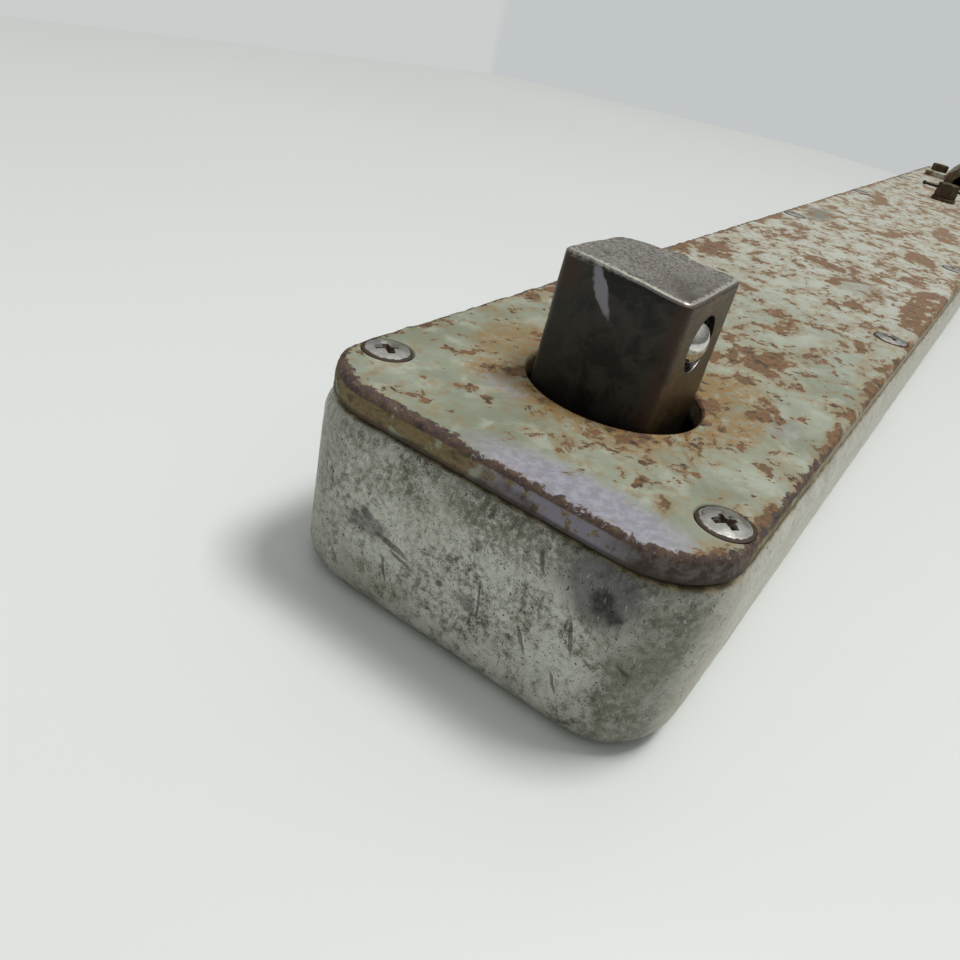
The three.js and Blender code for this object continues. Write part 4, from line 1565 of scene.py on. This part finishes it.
def numberMesh(text, size, matrix):
    curve = bpy.data.curves.new("number", "FONT")
    curve.body = text
    curve.size = size * mm
    curve.extrude = 0.08 * mm
    curve.align_x, curve.align_y = "CENTER", "CENTER"
    holder = bpy.data.objects.new("number", curve)
    bpy.context.scene.collection.objects.link(holder)
    graph = bpy.context.evaluated_depsgraph_get()
    mesh = bpy.data.meshes.new_from_object(holder.evaluated_get(graph))
    mesh.transform(matrix)
    bpy.data.objects.remove(holder)
    return mesh


def handBlade(rows, low, high):
    # rows of (y, half width) along a hand whose ridge faces down
    middle = toTool(centreOf("dial_face"))
    rings = []
    for y, w in rows:
        x = middle.x
        rings.append(
            [
                atTool(x + w, y, high),
                atTool(x + w, y, low + 0.3),
                atTool(x, y, low),
                atTool(x - w, y, low + 0.3),
                atTool(x - w, y, high),
            ]
        )
    bm = bmesh.new()
    addLoft(bm, rings)
    return bm


def makeDial():
    v = dialValues
    faceLow, faceHigh = toolBox("dial_face")
    middle = (faceLow + faceHigh) / 2
    at = (middle.x, middle.y)
    outer = (faceHigh.y - faceLow.y) / 2
    low, high = faceLow.z, faceHigh.z
    plate = latheMesh([(1.7, low), (outer - 0.3, low), (outer, low + 0.3), (outer, high), (1.7, high)], at, 96, True)
    newPiece("dialFace", plate, dialEnamel, "frame", ["dial_face"])

    marks = bmesh.new()
    ticks = makeTickTree()
    flat = atTool(middle.x, middle.y, low)
    minorCount = 2 * v["reach"] // v["minorStep"] + 1
    majorCount = 2 * v["reach"] // v["majorStep"] + 1
    marks.from_mesh(tickMesh(ticks, minorCount, v["minorStep"], v["tickRadius"], (0.28, 1.3, 0.2), flat))
    marks.from_mesh(tickMesh(ticks, majorCount, v["majorStep"], v["tickRadius"] - 0.7, (0.6, 2.9, 0.26), flat))
    for i in range(majorCount):
        step = i - majorCount // 2
        angle = math.radians(step * v["majorStep"])
        spot = flat + Vector((math.sin(angle), math.cos(angle), 0)) * v["numberRadius"] * mm
        turn = Matrix.Rotation(-angle, 4, "Z") @ Matrix.Rotation(math.pi, 4, "Y")
        marks.from_mesh(numberMesh(str(abs(step) * v["perMajor"]), v["numberSize"], Matrix.Translation(spot) @ turn))
    bmesh.ops.remove_doubles(marks, verts=marks.verts, dist=1e-7)
    newPiece("dialMarks", marks, blackEnamel, "frame", [], 20)

    low, high = (corner.z for corner in toolBox("dial_bezel"))
    profile = [
        (24, high), (24, low + 0.9), (24.4, low + 0.35), (25.2, low), (26.5, low + 0.05), (26.9, low + 0.45),
        (28.5, low + 0.45), (28.9, low + 0.1), (29.5, low), (30, low + 0.6), (30, high),
    ]
    newPiece("dialBezel", latheMesh(profile, at, 112, True), brightSteel, "frame", ["dial_bezel"], 25)
    low, high = (corner.z for corner in toolBox("dial_lens"))
    profile = [(2.6, low), (26.0, low), (26.2, low + 0.2), (26.2, high), (2.4, high), (2.4, low + 0.2)]
    newPiece("dialLens", latheMesh(profile, at, 96, True), dialGlass, "frame", ["dial_lens"], 25)

    low, high = (corner.z for corner in toolBox("pointer_hand"))
    blade = tempObject(handBlade([(-7, 1.7), (-3, 1.2), (0, 1.3), (14, 0.7), (21, 0.12)], low, high))
    hub = tempObject(latheMesh([(0, low), (3, low), (3.2, low + 0.2), (3.2, high), (0, high)], at))
    whole = bpy.data.objects.new("temp", booleanMesh(blade, hub, "UNION"))
    bpy.context.scene.collection.objects.link(whole)
    staff = tempObject(latheMesh([(0, low - 2), (1.5, low - 2), (1.5, high + 2), (0, high + 2)], at, 32))
    newPiece(
        "pointerHand", booleanMesh(whole, staff, "DIFFERENCE"), blackEnamel, "pointer", ["pointer_hand"],
        25,
    )

    low, high = (corner.z for corner in toolBox("peak_hand"))
    blade = tempObject(handBlade([(-5, 1.2), (0, 1.0), (12, 0.6), (19, 0.1)], high - 0.6, high))
    knob = bmesh.new()
    rings = []
    for radius, z in (
        (1.95, high - 0.1), (1.95, low + 1.7), (4.7, low + 1.7), (5.0, low + 1.4), (5.0, low + 0.4), (4.6, low),
        (1.2, low + 0.15),
    ):
        ring = []
        for a in circle(160):
            cut = 0.12 * (1 + math.cos(v["knurls"] * a)) if radius > 4.5 else 0
            ring.append(atTool(middle.x + (radius - cut) * math.cos(a), middle.y + (radius - cut) * math.sin(a), z))
        rings.append(ring)
    addLoft(knob, rings)
    newPiece(
        "peakHand", booleanMesh(blade, tempObject(knob), "UNION"), redEnamel, "peak_hand", ["peak_hand"],
        30,
    )


makeDial()
print("dial made")

# spring behind the ball
springValues = {"turns": 4, "wire": 0.4, "sides": 10, "perTurn": 28}


def makeSpring():
    v = springValues
    low, high = toolBox("detent_spring")
    middle = (low + high) / 2
    coil = (high.x - low.x) / 2 - v["wire"] - 0.02
    start, end = low.y + v["wire"] + 0.05, high.y - v["wire"] - 0.05
    count = v["turns"] * v["perTurn"]
    rings = []
    for i in range(count + 1):
        a = 2 * math.pi * i / v["perTurn"]
        out = Vector((math.cos(a), 0, math.sin(a)))
        # the end turns lie closer together than the middle ones
        share = i / count
        y = start + (end - start) * (share - 0.06 * math.sin(4 * math.pi * share) / math.pi)
        centre = Vector((middle.x, y, middle.z)) + out * coil
        rings.append(
            [
                atTool(*(centre + (out * math.cos(b) + Vector((0, 1, 0)) * math.sin(b)) * v["wire"]))
                for b in circle(v["sides"])
            ]
        )
    bm = bmesh.new()
    addLoft(bm, rings)
    bmesh.ops.recalc_face_normals(bm, faces=bm.faces)
    spring = newPiece("detentSpring", bm, brightSteel, "drive", ["detent_spring"], 60)
    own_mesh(spring)


makeSpring()
print("spring made")

# the CAD nodes that stay
keptFinishes = [
    (gasketShade, ["cover_gasket"]),
    (brassMetal, ["lower_bush", "gear_sector", "dial_pinion", "pinion_bridge", "bridge_spacer_1", "bridge_spacer_2"]),
    (darkSteel, ["torque_beam", "anchor_bolt_inner", "arm_rivet", "sector_rivet_1", "sector_rivet_2"]),
    (brightSteel, ["pointer_arm", "bridge_screw_1", "bridge_screw_2"]),
]
for material, names in keptFinishes:
    for name in names:
        nodes[name].data.materials.clear()
        nodes[name].data.materials.append(material)
print("kept nodes painted")

# floor and light
stageValues = {
    "floor": srgb(226, 228, 225),
    "backdropLeft": (0.60, 0.615, 0.61),
    "backdropRight": (0.54, 0.565, 0.57),
    "surroundLow": (0.17, 0.174, 0.17),
    "surroundHigh": (0.5, 0.51, 0.5),
    "keyPower": 36,
}


def makeStage():
    v = stageValues
    corners = [(-2500, -2500, 0), (1060, -2500, 0), (1022, 190, 0), (785, 505, 0), (180, 600, 0), (-2500, 900, 0)]
    mesh = bpy.data.meshes.new("floor")
    drop = (0 - plateHigh.z) / mm
    mesh.from_pydata([tuple(atTool(x, y, drop)) for x, y, _ in corners], [], [tuple(range(len(corners)))])
    floor = bpy.data.objects.new("floor", mesh)
    bpy.context.scene.collection.objects.link(floor)
    material, shader, space = newMaterial("paleTable")
    tone = noiseOf(space, 0.004, 2.0, 0.5)
    plug(shader.inputs["Base Color"], mixColour(tone, v["floor"], srgb(220, 223, 220)))
    shader.inputs["Roughness"].default_value = 0.34
    mesh.materials.append(material)

    world = bpy.data.worlds.new("world")
    bpy.context.scene.world = world
    world.use_nodes = True
    tree = world.node_tree
    background = tree.nodes["Background"]
    direction = addNode(tree, "ShaderNodeTexCoord").outputs["Generated"]
    x, y, z = splitXyz(direction)
    bearing = calc("ARCTAN2", y, x)
    side = remap(bearing, math.radians(32.4), math.radians(33.0))
    seen = mixColour(side, v["backdropRight"], v["backdropLeft"])
    straight = addNode(tree, "ShaderNodeLightPath").outputs["Is Camera Ray"]
    surround = mixColour(remap(z, 0.05, 0.75), v["surroundLow"], v["surroundHigh"])
    tree.links.new(mixColour(straight, surround, seen), background.inputs[0])

    def areaLight(name, place, target, size, power):
        data = bpy.data.lights.new(name, "AREA")
        data.shape = "RECTANGLE"
        data.size, data.size_y = size
        data.energy = power
        light = bpy.data.objects.new(name, data)
        bpy.context.scene.collection.objects.link(light)
        light.location = place
        light.rotation_euler = (Vector(target) - Vector(place)).to_track_quat("-Z", "Y").to_euler()

    middle = atTool(150, 0, -20)
    areaLight("keyLight", middle + Vector((0.45, -0.5, 2.2)), middle, (0.6, 0.6), v["keyPower"])


makeStage()
bpy.context.scene.view_settings.view_transform = "Standard"
print("stage made")
